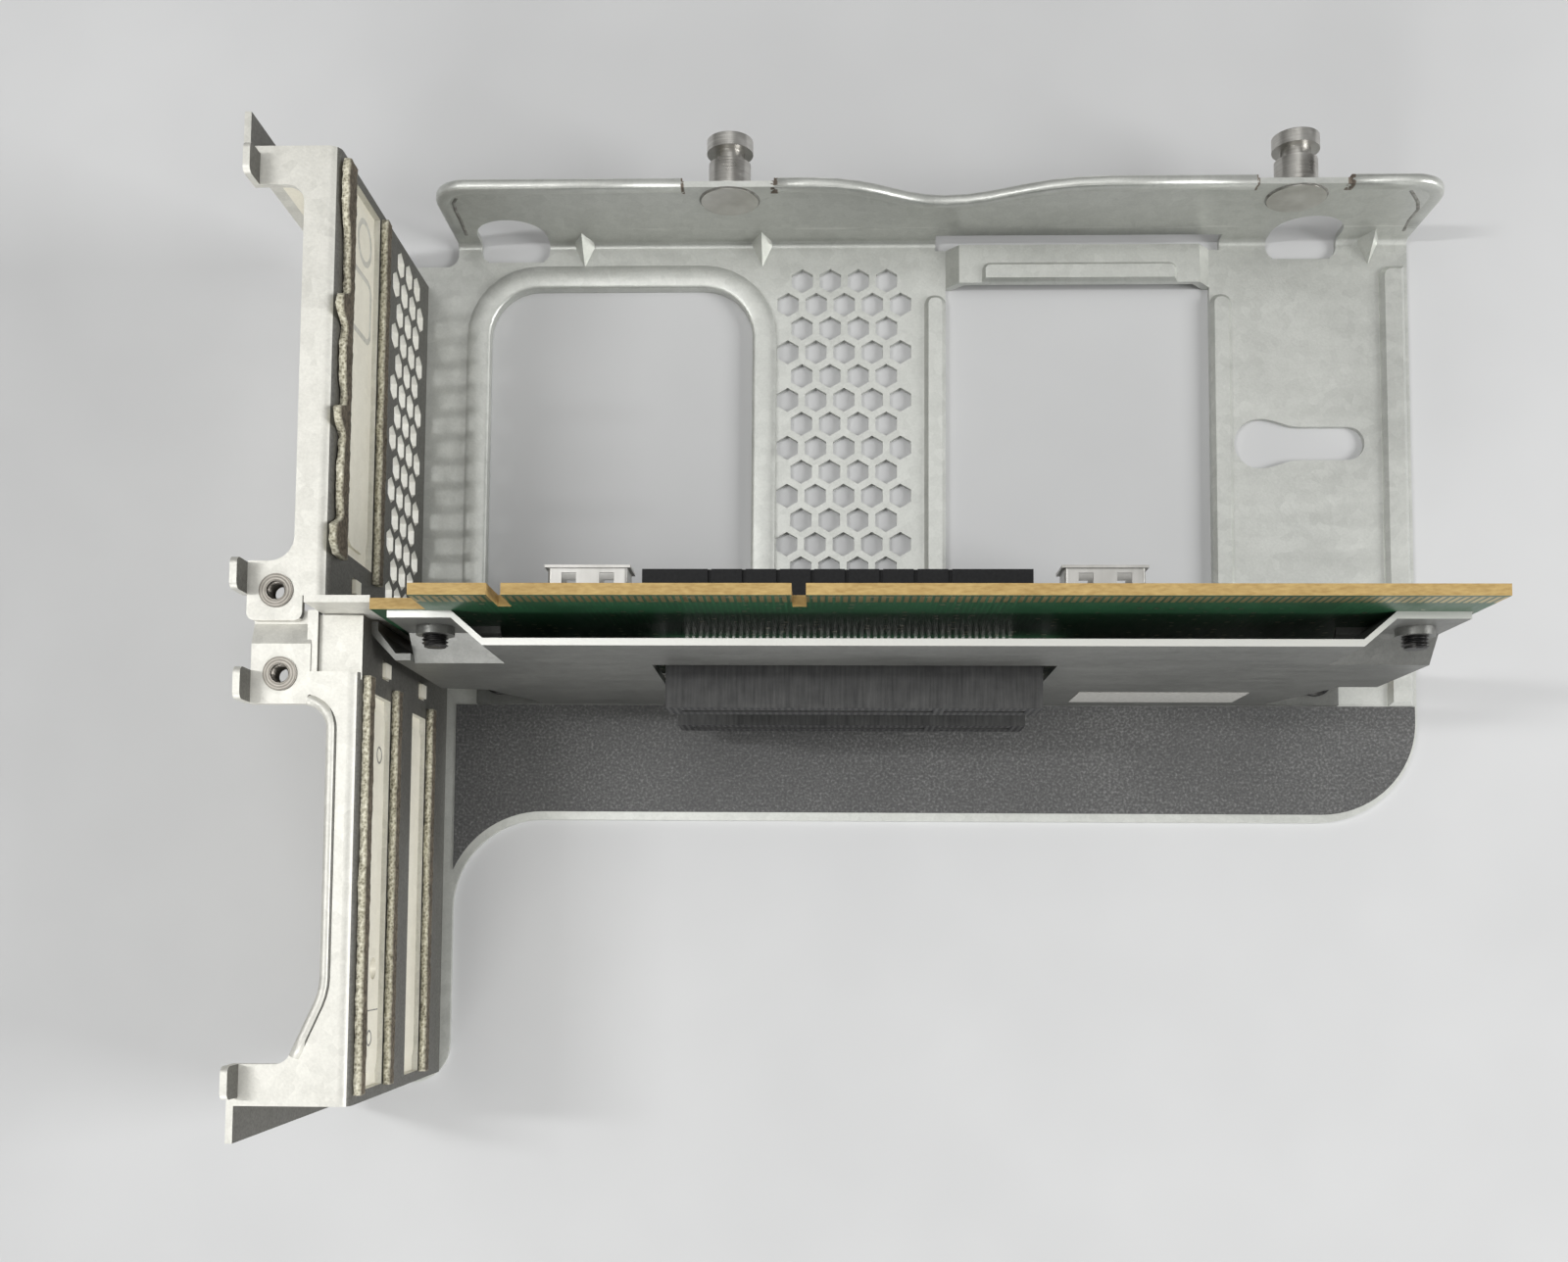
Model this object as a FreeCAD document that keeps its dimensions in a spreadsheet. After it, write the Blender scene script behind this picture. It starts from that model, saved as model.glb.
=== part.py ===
import FreeCAD, Part
import math
import os
import re

import Sketcher

# A two-sided riser card in its folded sheet-metal carrier, lying on the flat plate of the carrier.
# Millimetres. X runs along the board, away from the rear panels. Y runs across the board, north positive.
# Z is up. The origin is on the underside of the plate, under the south face of the board.
doc = FreeCAD.newDocument("riser_card")

SIZES = {
    # folded sheet
    "sheet_thick": 1.0,
    "bend_round": 1.0,
    "panel_bend": 1.7,
    # base plate outline
    "plate_left": -91.0,
    "plate_right": 86.2,
    "plate_south": -24.9,
    "corner_outer": 17.5,
    "corner_inner": 15.5,
    "arm_right": -79.3,
    "arm_south": -70.2,
    "arm_round": 6.5,
    "notch_right": -80.6,
    "notch_south": 73.4,
    "notch_round": 2.2,
    # north flange of the plate, with its rolled lip and finger dip
    "flange_face": 77.5,
    "flange_height": 22.0,
    "flange_round": 6.0,
    "lip_reach": 0.5,
    "lip_thick": 1.5,
    "lip_run": 3.0,
    "dip_west": -18.0,
    "dip_low": 4.5,
    "dip_east": 31.0,
    "dip_depth": 6.5,
    "pin_gap": 15.0,
    "dart_reach": 4.4,
    "dart_half": 2.0,
    "dart_west": -58.1,
    "dart_middle": -26.6,
    "dart_inset": 6.8,
    # relief holes across the flange bend
    "relief_width": 12.2,
    "relief_top": 10.5,
    "relief_south": 74.2,
    "relief_west": -70.4,
    "relief_east": 67.8,
    "relief_round": 2.0,
    # windows
    "window_south": 6.5,
    "window_margin": 8.4,
    "window_round": 8.7,
    "west_window_left": -74.6,
    "west_window_right": -28.1,
    "rim_width": 4.0,
    "rim_rise": 0.9,
    "east_window_left": 5.7,
    "east_window_right": 51.8,
    "bead_width": 3.7,
    "bead_rise": 1.1,
    "bead_inset": 1.4,
    "edge_bead_width": 4.2,
    "edge_bead_inset": 0.7,
    "edge_bead_north": 72.6,
    # raised bridge north of the east window
    "bridge_north": 75.9,
    "bridge_rise": 2.5,
    "bridge_slope": 2.2,
    "bridge_bead_width": 3.4,
    "bridge_bead_inset": 6.2,
    "slot_rise": 3.6,
    "slot_overhang": 1.8,
    # keyhole slot
    "keyhole_x": 60.2,
    "keyhole_y": 41.2,
    "keyhole_span": 15.1,
    "keyhole_big": 8.8,
    "keyhole_small": 5.9,
    # hexagon vents
    "vent_pitch": 4.95,
    "vent_flats": 3.76,
    "plate_vent_rows": 15,
    "plate_vent_across": 4,
    "plate_vent_x": -12.1,
    "plate_vent_north": 70.6,
    "panel_vent_rows": 14,
    "panel_vent_across": 3,
    "panel_vent_low": 6.2,
    "panel_vent_north": 66.0,
    # rear panels
    "panel_top": 51.0,
    "north_face": -85.9,
    "south_face": -81.0,
    "north_flange_width": 5.0,
    "south_flange_width": 4.5,
    "north_end": 69.8,
    "south_end": -68.3,
    "ledge_low": 8.0,
    "north_ledge_reach": 13.1,
    "south_ledge_reach": 16.2,
    "hook_reach": 5.2,
    "north_tab_reach": 11.6,
    "south_tab_reach": 15.6,
    "north_neck": -89.5,
    "south_neck": -88.1,
    "north_strip_start": 3.65,
    "south_strip_start": -7.25,
    "north_wall_start": 1.2,
    "south_wall_start": 1.0,
    "north_gusset_reach": 1.6,
    "north_gusset_length": 1.6,
    "south_gusset_reach": 4.6,
    "south_gusset_length": 10.0,
    "gusset_round": 2.4,
    "tab_width": 8.6,
    "end_tab_width": 5.8,
    "tab_round": 3.6,
    "tab_corner": 1.2,
    "tab_lip_rise": 4.0,
    "tab_lip_width": 4.6,
    "tab_lip_shift": 1.8,
    "tab_lip_inset": 1.2,
    "lap_end": 1.6,
    "lap_slope": 3.0,
    "lap_bead_width": 1.5,
    "lap_bead_rise": 0.8,
    "lap_east": -87.2,
    "north_tab_y": 4.35,
    "south_tab_y": -7.6,
    "tab_hole_inset": 4.2,
    "foot_width": 4.2,
    "north_arm_end": -77.7,
    "north_arm_top": 58.0,
    # card slots in the rear panels
    "north_slot_height": 12.0,
    "south_slot_height": 8.0,
    "slot_pitch": 20.32,
    "north_slot_low": 30.6,
    "upper_slot_low": 35.4,
    "slot_end_margin": 1.6,
    "slot_board_margin": 10.4,
    "cover_thick": 0.86,
    "cover_width": 15.0,
    "cover_tab_reach": 10.5,
    "cover_emboss": 0.5,
    "cover_hole": 3.2,
    "cover_hole_inset": 18.8,
    "cover_toe_proud": 0.5,
    "cover_toe_clear": 0.3,
    "cover_start": 4.3,
    "tongue_length": 2.7,
    "tongue_height": 3.2,
    "tongue_inset": 6.2,
    "north_tongue_rise": 7.8,
    "south_tongue_rise": 2.9,
    # gasket strips
    "gasket_height": 2.0,
    "gasket_thick": 1.1,
    "gasket_clear": 0.4,
    "gasket_lift": 3.4,
    "gasket_drop": 0.6,
    "gasket_start": 8.6,
    "gasket_end_gap": 1.4,
    # riser board
    "board_left": -69.7,
    "board_right": 72.7,
    "board_low": 5.0,
    "board_top": 68.5,
    "ear_left": -77.4,
    "ear_top": 59.1,
    "board_thick": 1.57,
    "key_width": 1.9,
    "key_depth": 7.5,
    "short_key_x": -58.4,
    "long_key_x": -18.6,
    # bracket that carries the board
    "bracket_gap": 3.8,
    "bracket_top": 58.4,
    "bracket_left": -62.0,
    "bracket_right": 57.4,
    "bracket_jog": 4.4,
    "bracket_tab_left": -75.2,
    "bracket_tab_right": 71.8,
    "jog_low": 47.0,
    "jog_drop": 3.5,
    "west_arch_top": 17.5,
    "east_arch_top": 22.6,
    "west_arch": -63.0,
    "east_arch": 59.0,
    "arch_round": 7.0,
    "side_wing_top": 46.0,
    "side_wing_low": 19.0,
    "wing_bend": -77.4,
    "wing_turn": -1.0,
    "wing_end": 0.9,
    "foot_left": -75.6,
    "foot_right": 72.6,
    "foot_length": 9.2,
    "foot_reach": 5.3,
    "cutout_margin": 1.6,
    "cutout_rise": 3.6,
    "cutout_low": 7.0,
    # card sockets
    "socket_length": 56.0,
    "socket_left": -38.9,
    "socket_depth": 10.6,
    "socket_width": 7.5,
    "upper_socket_top": 38.66,
    "north_socket_top": 29.0,
    "north_socket_depth": 11.0,
    "north_end_block": 4.9,
    "card_slot_width": 1.8,
    "card_slot_depth": 7.6,
    "card_slot_margin": 2.2,
    "socket_key_x": 12.2,
    "socket_key_width": 1.6,
    "socket_relief": 0.45,
    "rib_pitch": 5.35,
    "rib_width": 0.6,
    "lead_pitch": 2.0,
    "lead_width": 0.5,
    "lead_thick": 0.25,
    "lead_rise": 2.2,
    # USB sockets
    "usb_west_x": -53.9,
    "usb_east_x": 30.0,
    "usb_top": 19.0,
    "usb_width": 13.1,
    "usb_height": 5.7,
    "usb_reach": 13.9,
    "usb_wall": 0.35,
    "usb_flare": 0.45,
    "usb_window_inset": 1.2,
    "usb_window_width": 2.4,
    "usb_window_length": 5.0,
    "usb_window_x": 3.1,
    "tongue_width": 11.1,
    "tongue_thick": 1.84,
    "tongue_reach": 8.8,
    "usb_base": 2.6,
    # guide pins
    "pin_west": -31.4,
    "pin_east": 62.2,
    "pin_z": 17.2,
    "pin_radius": 3.5,
    "pin_shaft": 4.9,
    "pin_neck_radius": 2.4,
    "pin_neck": 1.9,
    "pin_head_radius": 3.85,
    "pin_head": 2.2,
    "rivet_radius": 4.75,
    "rivet_proud": 0.3,
    "pin_tenon": 2.8,
    # screws
    "screw_radius": 1.5,
    "screw_clear": 0.15,
    "screw_head_radius": 2.7,
    "screw_head": 1.8,
    "screw_tip": 2.9,
    "recess_radius": 1.0,
    "recess_depth": 0.9,
    "boss_radius": 2.7,
    "boss_reach": 1.2,
    "board_screw_west": -70.2,
    "board_screw_edge": 5.9,
    "board_screw_z": 51.5,
    "bracket_screw_west": -71.6,
    "bracket_screw_east": 68.6,
    "bracket_screw_y": -0.6,
    # threaded inserts of the screw tabs
    "insert_radius": 1.95,
    "insert_bore": 1.35,
    "insert_reach": 2.6,
    "insert_rim_radius": 2.45,
    "insert_rim": 0.25,
    # film and label
    "film_thick": 0.25,
    "film_margin": 1.4,
    "film_side_margin": 0.4,
    "film_clear": 0.1,
    "film_low": -33.9,
    "label_left": 26.0,
    "label_length": 27.4,
    "label_low": 6.0,
    "label_height": 10.6,
    "label_thick": 0.12,
}

sheet = doc.addObject("Spreadsheet::Sheet", "Sheet")
for row, (alias, size) in enumerate(SIZES.items(), start=1):
    sheet.set(f"A{row}", str(size))
    sheet.setAlias(f"A{row}", alias)
doc.recompute()

NORTH = FreeCAD.Vector(0, 1, 0)
SOUTH = FreeCAD.Vector(0, -1, 0)
UP = FreeCAD.Vector(0, 0, 1)
nodes = []


def cell(expression):
    """An expression in named sizes, with each name pointing at its cell."""
    return re.sub(r"[a-z][a-z_]+", lambda word: "Sheet." + word.group(), str(expression))


def number(expression):
    return float(sheet.evalExpression(cell(expression)))


def box(name, x, y, z):
    """Block between two faces on each axis."""
    block = doc.addObject("Part::Box", name)
    for side, axis, (low, high) in (("Length", "x", x), ("Width", "y", y), ("Height", "z", z)):
        block.setExpression(side, cell(f"({high}) - ({low})"))
        block.setExpression(f"Placement.Base.{axis}", cell(low))
    return block


def cylinder(name, radius, length, base, axis):
    """Round bar from its base point along an axis."""
    bar = doc.addObject("Part::Cylinder", name)
    bar.setExpression("Radius", cell(radius))
    bar.setExpression("Height", cell(length))
    bar.Placement = FreeCAD.Placement(FreeCAD.Vector(), FreeCAD.Rotation(UP, axis))
    for letter, place in zip("xyz", base):
        bar.setExpression(f"Placement.Base.{letter}", cell(place))
    return bar


PLANES = {
    "floor": (FreeCAD.Rotation(), "z", False),
    "front": (FreeCAD.Rotation(FreeCAD.Vector(1, 0, 0), 90), "y", True),
    "side": (FreeCAD.Rotation(FreeCAD.Vector(1, 1, 1), 120), "x", False),
}


def prism(name, plane, points, start, end):
    """Outline on the floor (x, y), front (x, z) or side (y, z) plane, extruded from start to end."""
    turn, axis, backwards = PLANES[plane]
    sketch = doc.addObject("Sketcher::SketchObject", name + "_outline")
    sketch.Placement = FreeCAD.Placement(FreeCAD.Vector(), turn)
    sketch.setExpression(f"Placement.Base.{axis}", cell(start))
    corners = [FreeCAD.Vector(number(a), number(b), 0) for a, b in points]
    for index, corner in enumerate(corners):
        sketch.addGeometry(Part.LineSegment(corner, corners[(index + 1) % len(corners)]))
    for index in range(len(corners)):
        sketch.addConstraint(Sketcher.Constraint("Coincident", index, 2, (index + 1) % len(corners), 1))
    for index, places in enumerate(points):
        for kind, word, place in zip(("DistanceX", "DistanceY"), ("across", "along"), places):
            spot = sketch.addConstraint(Sketcher.Constraint(kind, -1, 1, index, 1, number(place)))
            sketch.renameConstraint(spot, f"{word}_{index}")
            sketch.setExpression(f"Constraints.{word}_{index}", cell(place))
    solid = doc.addObject("Part::Extrusion", name)
    solid.Base = sketch
    solid.DirMode = "Normal"
    solid.Reversed = backwards
    solid.Solid = True
    solid.setExpression("LengthFwd", cell(f"({end}) - ({start})"))
    return solid


def fused(name, pieces):
    joined = doc.addObject("Part::MultiFuse", name)
    joined.Shapes = pieces
    joined.Refine = True
    return joined


def grouped(name, pieces):
    group = doc.addObject("Part::Compound", name)
    group.Links = pieces
    return group


def cut(name, base, tools):
    result = doc.addObject("Part::Cut", name)
    result.Base = base
    result.Tool = tools[0] if len(tools) == 1 else fused(name + "_tools", tools)
    result.Refine = True
    return result


def rounded(name, base, radius, chosen):
    """Rounds the edges of a solid that pass a test."""
    doc.recompute()
    amount = number(radius)
    picked = [spot for spot, edge in enumerate(base.Shape.Edges, start=1) if chosen(edge)]
    if not picked:
        raise RuntimeError(f"{name}: no edge to round")
    result = doc.addObject("Part::Fillet", name)
    result.Base = base
    result.Edges = [(spot, amount, amount) for spot in picked]
    return result


def bevelled(name, base, size, chosen):
    """Takes the corner off the edges of a solid that pass a test."""
    doc.recompute()
    amount = number(size)
    picked = [spot for spot, edge in enumerate(base.Shape.Edges, start=1) if chosen(edge)]
    if not picked:
        raise RuntimeError(f"{name}: no edge to bevel")
    result = doc.addObject("Part::Chamfer", name)
    result.Base = base
    result.Edges = [(spot, amount, amount) for spot in picked]
    return result


NEAR = 0.02


def upright_at(*places):
    """Test for upright edges over the given plan points."""
    spots = [(number(x), number(y)) for x, y in places]

    def chosen(edge):
        room = edge.BoundBox
        if room.XLength > NEAR or room.YLength > NEAR:
            return False
        return any(math.hypot(room.XMin - x, room.YMin - y) < NEAR for x, y in spots)

    return chosen


def level_at(height):
    """Test for edges that lie wholly at one height."""
    place = number(height)

    def chosen(edge):
        room = edge.BoundBox
        return room.ZLength < NEAR and abs(room.ZMin - place) < NEAR

    return chosen


def along_x_at(y, z):
    """Test for edges that run along X at one place in the YZ plane."""
    across, height = number(y), number(z)

    def chosen(edge):
        room = edge.BoundBox
        if room.YLength > NEAR or room.ZLength > NEAR:
            return False
        return abs(room.YMin - across) < NEAR and abs(room.ZMin - height) < NEAR

    return chosen


def solid_feature(name, shape):
    """Solid that no primitive or sketch gives, kept as a plain feature."""
    feature = doc.addObject("Part::Feature", name)
    feature.Shape = shape
    return feature


def node(label, piece):
    piece.Label = label
    nodes.append(piece)
    return piece


def hexagon(centre, reach, across, along):
    """Face of a hexagon whose points lie along one direction, centred on a point."""
    corners = []
    for step in range(6):
        turn = math.radians(60 * step)
        corners.append(centre + along * (reach * math.cos(turn)) + across * (reach * math.sin(turn)))
    return Part.Face(Part.makePolygon(corners + corners[:1]))


def vent_tools(name, first, across, rows, count, thickness):
    """Staggered hexagon tools: rows step south, and every second row has one hexagon more."""
    pitch = number("vent_pitch")
    reach = number("vent_flats") / math.sqrt(3)
    row_step = pitch * math.sqrt(3) / 2
    tools = []
    for row in range(rows):
        more = row % 2
        for place in range(count + more):
            shift = (place - (count + more - 1) / 2) * pitch
            centre = first + across * shift + SOUTH * (row * row_step)
            tools.append(hexagon(centre, reach, across, NORTH).extrude(thickness))
    return solid_feature(name, Part.makeCompound(tools))


# Base plate: the flat sheet with its rear arm.
plate_blank = prism("plate_blank", "floor", [
    ("plate_left", "notch_south"),
    ("plate_left", "arm_south"),
    ("arm_right", "arm_south"),
    ("arm_right", "plate_south"),
    ("plate_right", "plate_south"),
    ("plate_right", "flange_face + sheet_thick"),
    ("notch_right", "flange_face + sheet_thick"),
    ("notch_right", "notch_south"),
], "0", "sheet_thick")
plate_se = rounded("plate_se", plate_blank, "corner_outer", upright_at(("plate_right", "plate_south")))
plate_sw = rounded("plate_sw", plate_se, "corner_inner", upright_at(("arm_right", "plate_south")))
plate_arm = rounded("plate_arm", plate_sw, "arm_round", upright_at(("arm_right", "arm_south")))
plate_flat = rounded("plate_flat", plate_arm, "notch_round", upright_at(("notch_right", "notch_south")))


def flange_edge(drop, inset):
    """Top edge of the north flange with its finger dip, lowered by a drop and drawn in at the sides."""
    top = number("flange_height") - drop
    low = top - number("dip_depth")
    face = number("flange_face")
    west, middle, east = (number(name) for name in ("dip_west", "dip_low", "dip_east"))
    spots = [FreeCAD.Vector(west, face, top), FreeCAD.Vector(middle, face, low),
             FreeCAD.Vector(east, face, top)]
    dip = Part.BSplineCurve()
    level = FreeCAD.Vector(1, 0, 0)
    dip.interpolate(Points=spots, Tangents=[level * 20, level * 20, level * 20], TangentFlags=[True] * 3)
    corner = number("flange_round")
    left = number("notch_right") + inset
    right = number("plate_right") - inset
    slant = corner * (1 - math.sqrt(0.5))
    foot = number("flange_height") - corner - number("lip_run")
    curves = [
        Part.LineSegment(FreeCAD.Vector(left, face, foot), FreeCAD.Vector(left, face, top - corner)),
        Part.Arc(
            FreeCAD.Vector(left, face, top - corner),
            FreeCAD.Vector(left + slant, face, top - slant),
            FreeCAD.Vector(left + corner, face, top)),
        Part.LineSegment(FreeCAD.Vector(left + corner, face, top), spots[0]),
        dip,
        Part.LineSegment(spots[2], FreeCAD.Vector(right - corner, face, top)),
        Part.Arc(
            FreeCAD.Vector(right - corner, face, top),
            FreeCAD.Vector(right - slant, face, top - slant),
            FreeCAD.Vector(right, face, top - corner)),
        Part.LineSegment(FreeCAD.Vector(right, face, top - corner), FreeCAD.Vector(right, face, foot)),
    ]
    return [curve.toShape() for curve in curves]


def flange_sheet():
    """Upright north flange, up to the middle of its lip."""
    top = flange_edge(number("lip_thick") / 2, 0)
    left_end = top[0].Vertexes[0].Point
    right_end = top[-1].Vertexes[-1].Point
    foot_left = FreeCAD.Vector(left_end.x, left_end.y, 0)
    foot_right = FreeCAD.Vector(right_end.x, right_end.y, 0)
    sides = [Part.makeLine(right_end, foot_right), Part.makeLine(foot_right, foot_left),
             Part.makeLine(foot_left, left_end)]
    return Part.Face(Part.Wire(top + sides)).extrude(NORTH * number("sheet_thick"))


def flange_lip():
    """Rolled lip that follows the top edge of the flange and stands out to the north."""
    outer = flange_edge(0, 0)
    inner = flange_edge(number("lip_thick"), number("lip_thick"))
    ends = [
        Part.makeLine(outer[-1].Vertexes[-1].Point, inner[-1].Vertexes[-1].Point),
        Part.makeLine(inner[0].Vertexes[0].Point, outer[0].Vertexes[0].Point),
    ]
    band = Part.Face(Part.Wire(outer + [ends[0]] + inner[::-1] + [ends[1]]))
    return band.extrude(NORTH * (number("sheet_thick") + number("lip_reach")))


def dart(name, x):
    """Pressed dart that stiffens the bend between plate and flange."""
    face, thick, reach, half, middle = (
        number(size) for size in ("flange_face", "sheet_thick", "dart_reach", "dart_half", x))
    toe = FreeCAD.Vector(middle, face - reach, thick)
    head = FreeCAD.Vector(middle, face, thick + reach)
    west = FreeCAD.Vector(middle - half, face, thick)
    east = FreeCAD.Vector(middle + half, face, thick)
    sides = [(toe, west, head), (toe, head, east), (toe, east, west), (west, east, head)]
    faces = [Part.Face(Part.makePolygon(list(side) + [side[0]])) for side in sides]
    wedge = Part.Solid(Part.Shell(faces))
    wedge.fix(NEAR, NEAR, NEAR)
    return solid_feature(name, wedge)


lip = solid_feature("lip_band", flange_lip())
pin_gaps = [
    box(f"lip_gap_{side}", (f"pin_{side} - pin_gap / 2", f"pin_{side} + pin_gap / 2"),
        ("flange_face + sheet_thick", "flange_face + sheet_thick + 2 * lip_reach"),
        ("pin_z", "flange_height + sheet_thick"))
    for side in ("west", "east")
]
open_lip = cut("open_lip", lip, pin_gaps)
north_flange = solid_feature("north_flange", flange_sheet())
folded = fused("folded", [plate_flat, north_flange])
bend_in = rounded("bend_in", folded, "bend_round", along_x_at("flange_face", "sheet_thick"))
bend_out = rounded("bend_out", bend_in, "bend_round + sheet_thick * 0.9",
                   along_x_at("flange_face + sheet_thick", "0"))


def bead(name, x, y, rise):
    """Raised bead on the plate with round ends and a bevelled top."""
    block = box(name + "_block", x, y, ("sheet_thick", f"sheet_thick + {rise}"))
    half = f"(({x[1]}) - ({x[0]})) * 0.45"
    if number(f"({x[1]}) - ({x[0]})") > number(f"({y[1]}) - ({y[0]})"):
        half = f"(({y[1]}) - ({y[0]})) * 0.45"
    ends = rounded(name + "_ends", block, half, upright_at(*[(a, b) for a in x for b in y]))
    return bevelled(name, ends, f"{rise} * 0.6", level_at(f"sheet_thick + {rise}"))


rim_block = box("rim_block", ("west_window_left - rim_width", "west_window_right + rim_width"),
                ("window_south - rim_width", "flange_face - window_margin + rim_width"),
                ("sheet_thick", "sheet_thick + rim_rise"))
rim_ends = rounded("rim_ends", rim_block, "window_round + rim_width", upright_at(*[
    (x, y) for x in ("west_window_left - rim_width", "west_window_right + rim_width")
    for y in ("window_south - rim_width", "flange_face - window_margin + rim_width")]))
rim = bevelled("rim", rim_ends, "rim_rise * 0.8", level_at("sheet_thick + rim_rise"))
west_bead = bead("west_bead", ("east_window_left - bead_width", "east_window_left"),
                 ("window_south", "flange_face - window_margin - bead_inset"), "bead_rise")
east_bead = bead("east_bead", ("east_window_right", "east_window_right + bead_width"),
                 ("window_south", "flange_face - window_margin - bead_inset"), "bead_rise")
edge_x = ("plate_right - edge_bead_inset - edge_bead_width", "plate_right - edge_bead_inset")
edge_block = box("edge_block", edge_x, ("-bracket_gap - sheet_thick", "edge_bead_north"),
                 ("sheet_thick", "sheet_thick + bead_rise"))
edge_turn = rounded("edge_turn", edge_block, "edge_bead_width * 0.45",
                    upright_at((edge_x[0], "edge_bead_north")))
edge_bead = bevelled("edge_bead", edge_turn, "bead_rise * 0.6", level_at("sheet_thick + bead_rise"))
bridge = prism("bridge", "front", [
    ("east_window_left - sheet_thick", "0"),
    ("east_window_left - sheet_thick", "sheet_thick"),
    ("east_window_left", "sheet_thick"),
    ("east_window_left + bridge_slope", "bridge_rise + sheet_thick"),
    ("east_window_right - bridge_slope", "bridge_rise + sheet_thick"),
    ("east_window_right", "sheet_thick"),
    ("east_window_right + sheet_thick", "sheet_thick"),
    ("east_window_right + sheet_thick", "0"),
    ("east_window_right - sheet_thick", "0"),
    ("east_window_right - sheet_thick - bridge_slope", "bridge_rise"),
    ("east_window_left + sheet_thick + bridge_slope", "bridge_rise"),
    ("east_window_left + sheet_thick", "0"),
], "flange_face - window_margin", "bridge_north")
bridge_bead_block = box("bridge_bead_block",
                        ("east_window_left + bridge_bead_inset", "east_window_right - bridge_bead_inset"),
                        ("flange_face - window_margin",
                         "flange_face - window_margin + bridge_bead_width"),
                        ("bridge_rise + sheet_thick", "bridge_rise + sheet_thick + rim_rise"))
bridge_bead_turn = rounded("bridge_bead_turn", bridge_bead_block, "bridge_bead_width * 0.4", upright_at(
    ("east_window_left + bridge_bead_inset", "flange_face - window_margin + bridge_bead_width"),
    ("east_window_right - bridge_bead_inset", "flange_face - window_margin + bridge_bead_width")))
bridge_bead = bevelled("bridge_bead", bridge_bead_turn, "rim_rise * 0.6",
                       level_at("bridge_rise + sheet_thick + rim_rise"))
darts = [dart("west_dart", "dart_west"), dart("middle_dart", "dart_middle"),
         dart("east_dart", "plate_right - dart_inset")]

west_window_block = box("west_window_block", ("west_window_left", "west_window_right"),
                        ("window_south", "flange_face - window_margin"),
                        ("-sheet_thick", "3 * sheet_thick + rim_rise"))
west_window = rounded("west_window", west_window_block, "window_round", upright_at(*[
    (x, y) for x in ("west_window_left", "west_window_right") for y in ("window_south",
                                                                        "flange_face - window_margin")]))
east_window = box("east_window", ("east_window_left", "east_window_right"),
                  ("window_south", "bridge_north"),
                  ("-sheet_thick", "2 * sheet_thick"))
bend_slot = box("bend_slot", ("east_window_left - slot_overhang", "east_window_right + slot_overhang"),
                ("bridge_north", "flange_face + 2 * sheet_thick"), ("-sheet_thick", "slot_rise"))


def relief_hole(name, x):
    """Tool for a hole across the bend: square on the plate, round on the flange."""
    half = "relief_width / 2"
    block = box(name + "_block", (f"{x} - {half}", f"{x} + {half}"),
                ("relief_south", "flange_face + 2 * sheet_thick"),
                ("-sheet_thick", f"relief_top - {half}"))
    corners = rounded(name + "_corners", block, "relief_round",
                      upright_at((f"{x} - {half}", "relief_south"), (f"{x} + {half}", "relief_south")))
    arch = cylinder(name + "_arch", half, "flange_face + 2 * sheet_thick - relief_south",
                    (x, "relief_south", f"relief_top - {half}"), NORTH)
    return fused(name, [corners, arch])


def keyhole_tool():
    """Tool for the keyhole slot: two round ends joined by a smooth taper."""
    big = number("keyhole_big") / 2
    small = number("keyhole_small") / 2
    span = number("keyhole_span")
    start = FreeCAD.Vector(number("keyhole_x"), number("keyhole_y"), -number("sheet_thick"))
    north_line = Part.BSplineCurve()
    south_line = Part.BSplineCurve()
    waist = span * 0.45
    level = FreeCAD.Vector(1, 0, 0) * span
    for line, side in ((north_line, 1), (south_line, -1)):
        line.interpolate(Points=[start + FreeCAD.Vector(0, side * big, 0),
                                 start + FreeCAD.Vector(waist, side * small, 0),
                                 start + FreeCAD.Vector(span, side * small, 0)],
                         Tangents=[level * 0.5, level * 0.5, level * 0.5], TangentFlags=[True] * 3)
    big_end = Part.Arc(start + FreeCAD.Vector(0, big, 0), start - FreeCAD.Vector(big, 0, 0),
                       start - FreeCAD.Vector(0, big, 0))
    tip = start + FreeCAD.Vector(span, 0, 0)
    small_end = Part.Arc(tip + FreeCAD.Vector(0, small, 0), tip + FreeCAD.Vector(small, 0, 0),
                         tip - FreeCAD.Vector(0, small, 0))
    edges = Part.sortEdges([curve.toShape() for curve in (north_line, small_end, south_line, big_end)])[0]
    return solid_feature("keyhole", Part.Face(Part.Wire(edges)).extrude(UP * (3 * number("sheet_thick"))))


vent_depth = 3 * number("sheet_thick")
plate_vents = vent_tools(
    "plate_vents",
    FreeCAD.Vector(number("plate_vent_x"), number("plate_vent_north"), -number("sheet_thick")),
    FreeCAD.Vector(1, 0, 0), int(number("plate_vent_rows")), int(number("plate_vent_across")),
    UP * vent_depth)
pin_holes = [
    cylinder(f"pin_hole_{side}", "pin_tenon", "3 * sheet_thick",
             (f"pin_{side}", "flange_face - sheet_thick", "pin_z"), NORTH)
    for side in ("west", "east")
]
plate_screw_holes = [
    cylinder(f"plate_screw_hole_{side}", "screw_radius + screw_clear", "4 * sheet_thick",
             (f"bracket_screw_{side}", "bracket_screw_y", "-sheet_thick"), UP)
    for side in ("west", "east")
]
plate_raised = fused("plate_raised", [bend_out, open_lip, rim, west_bead, east_bead, edge_bead] + darts)
plate_open = cut("plate_open", plate_raised, [
    west_window, east_window, bend_slot, keyhole_tool(),
    relief_hole("relief_hole_west", "relief_west"),
    relief_hole("relief_hole_east", "relief_east")] + pin_holes + plate_screw_holes)
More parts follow.
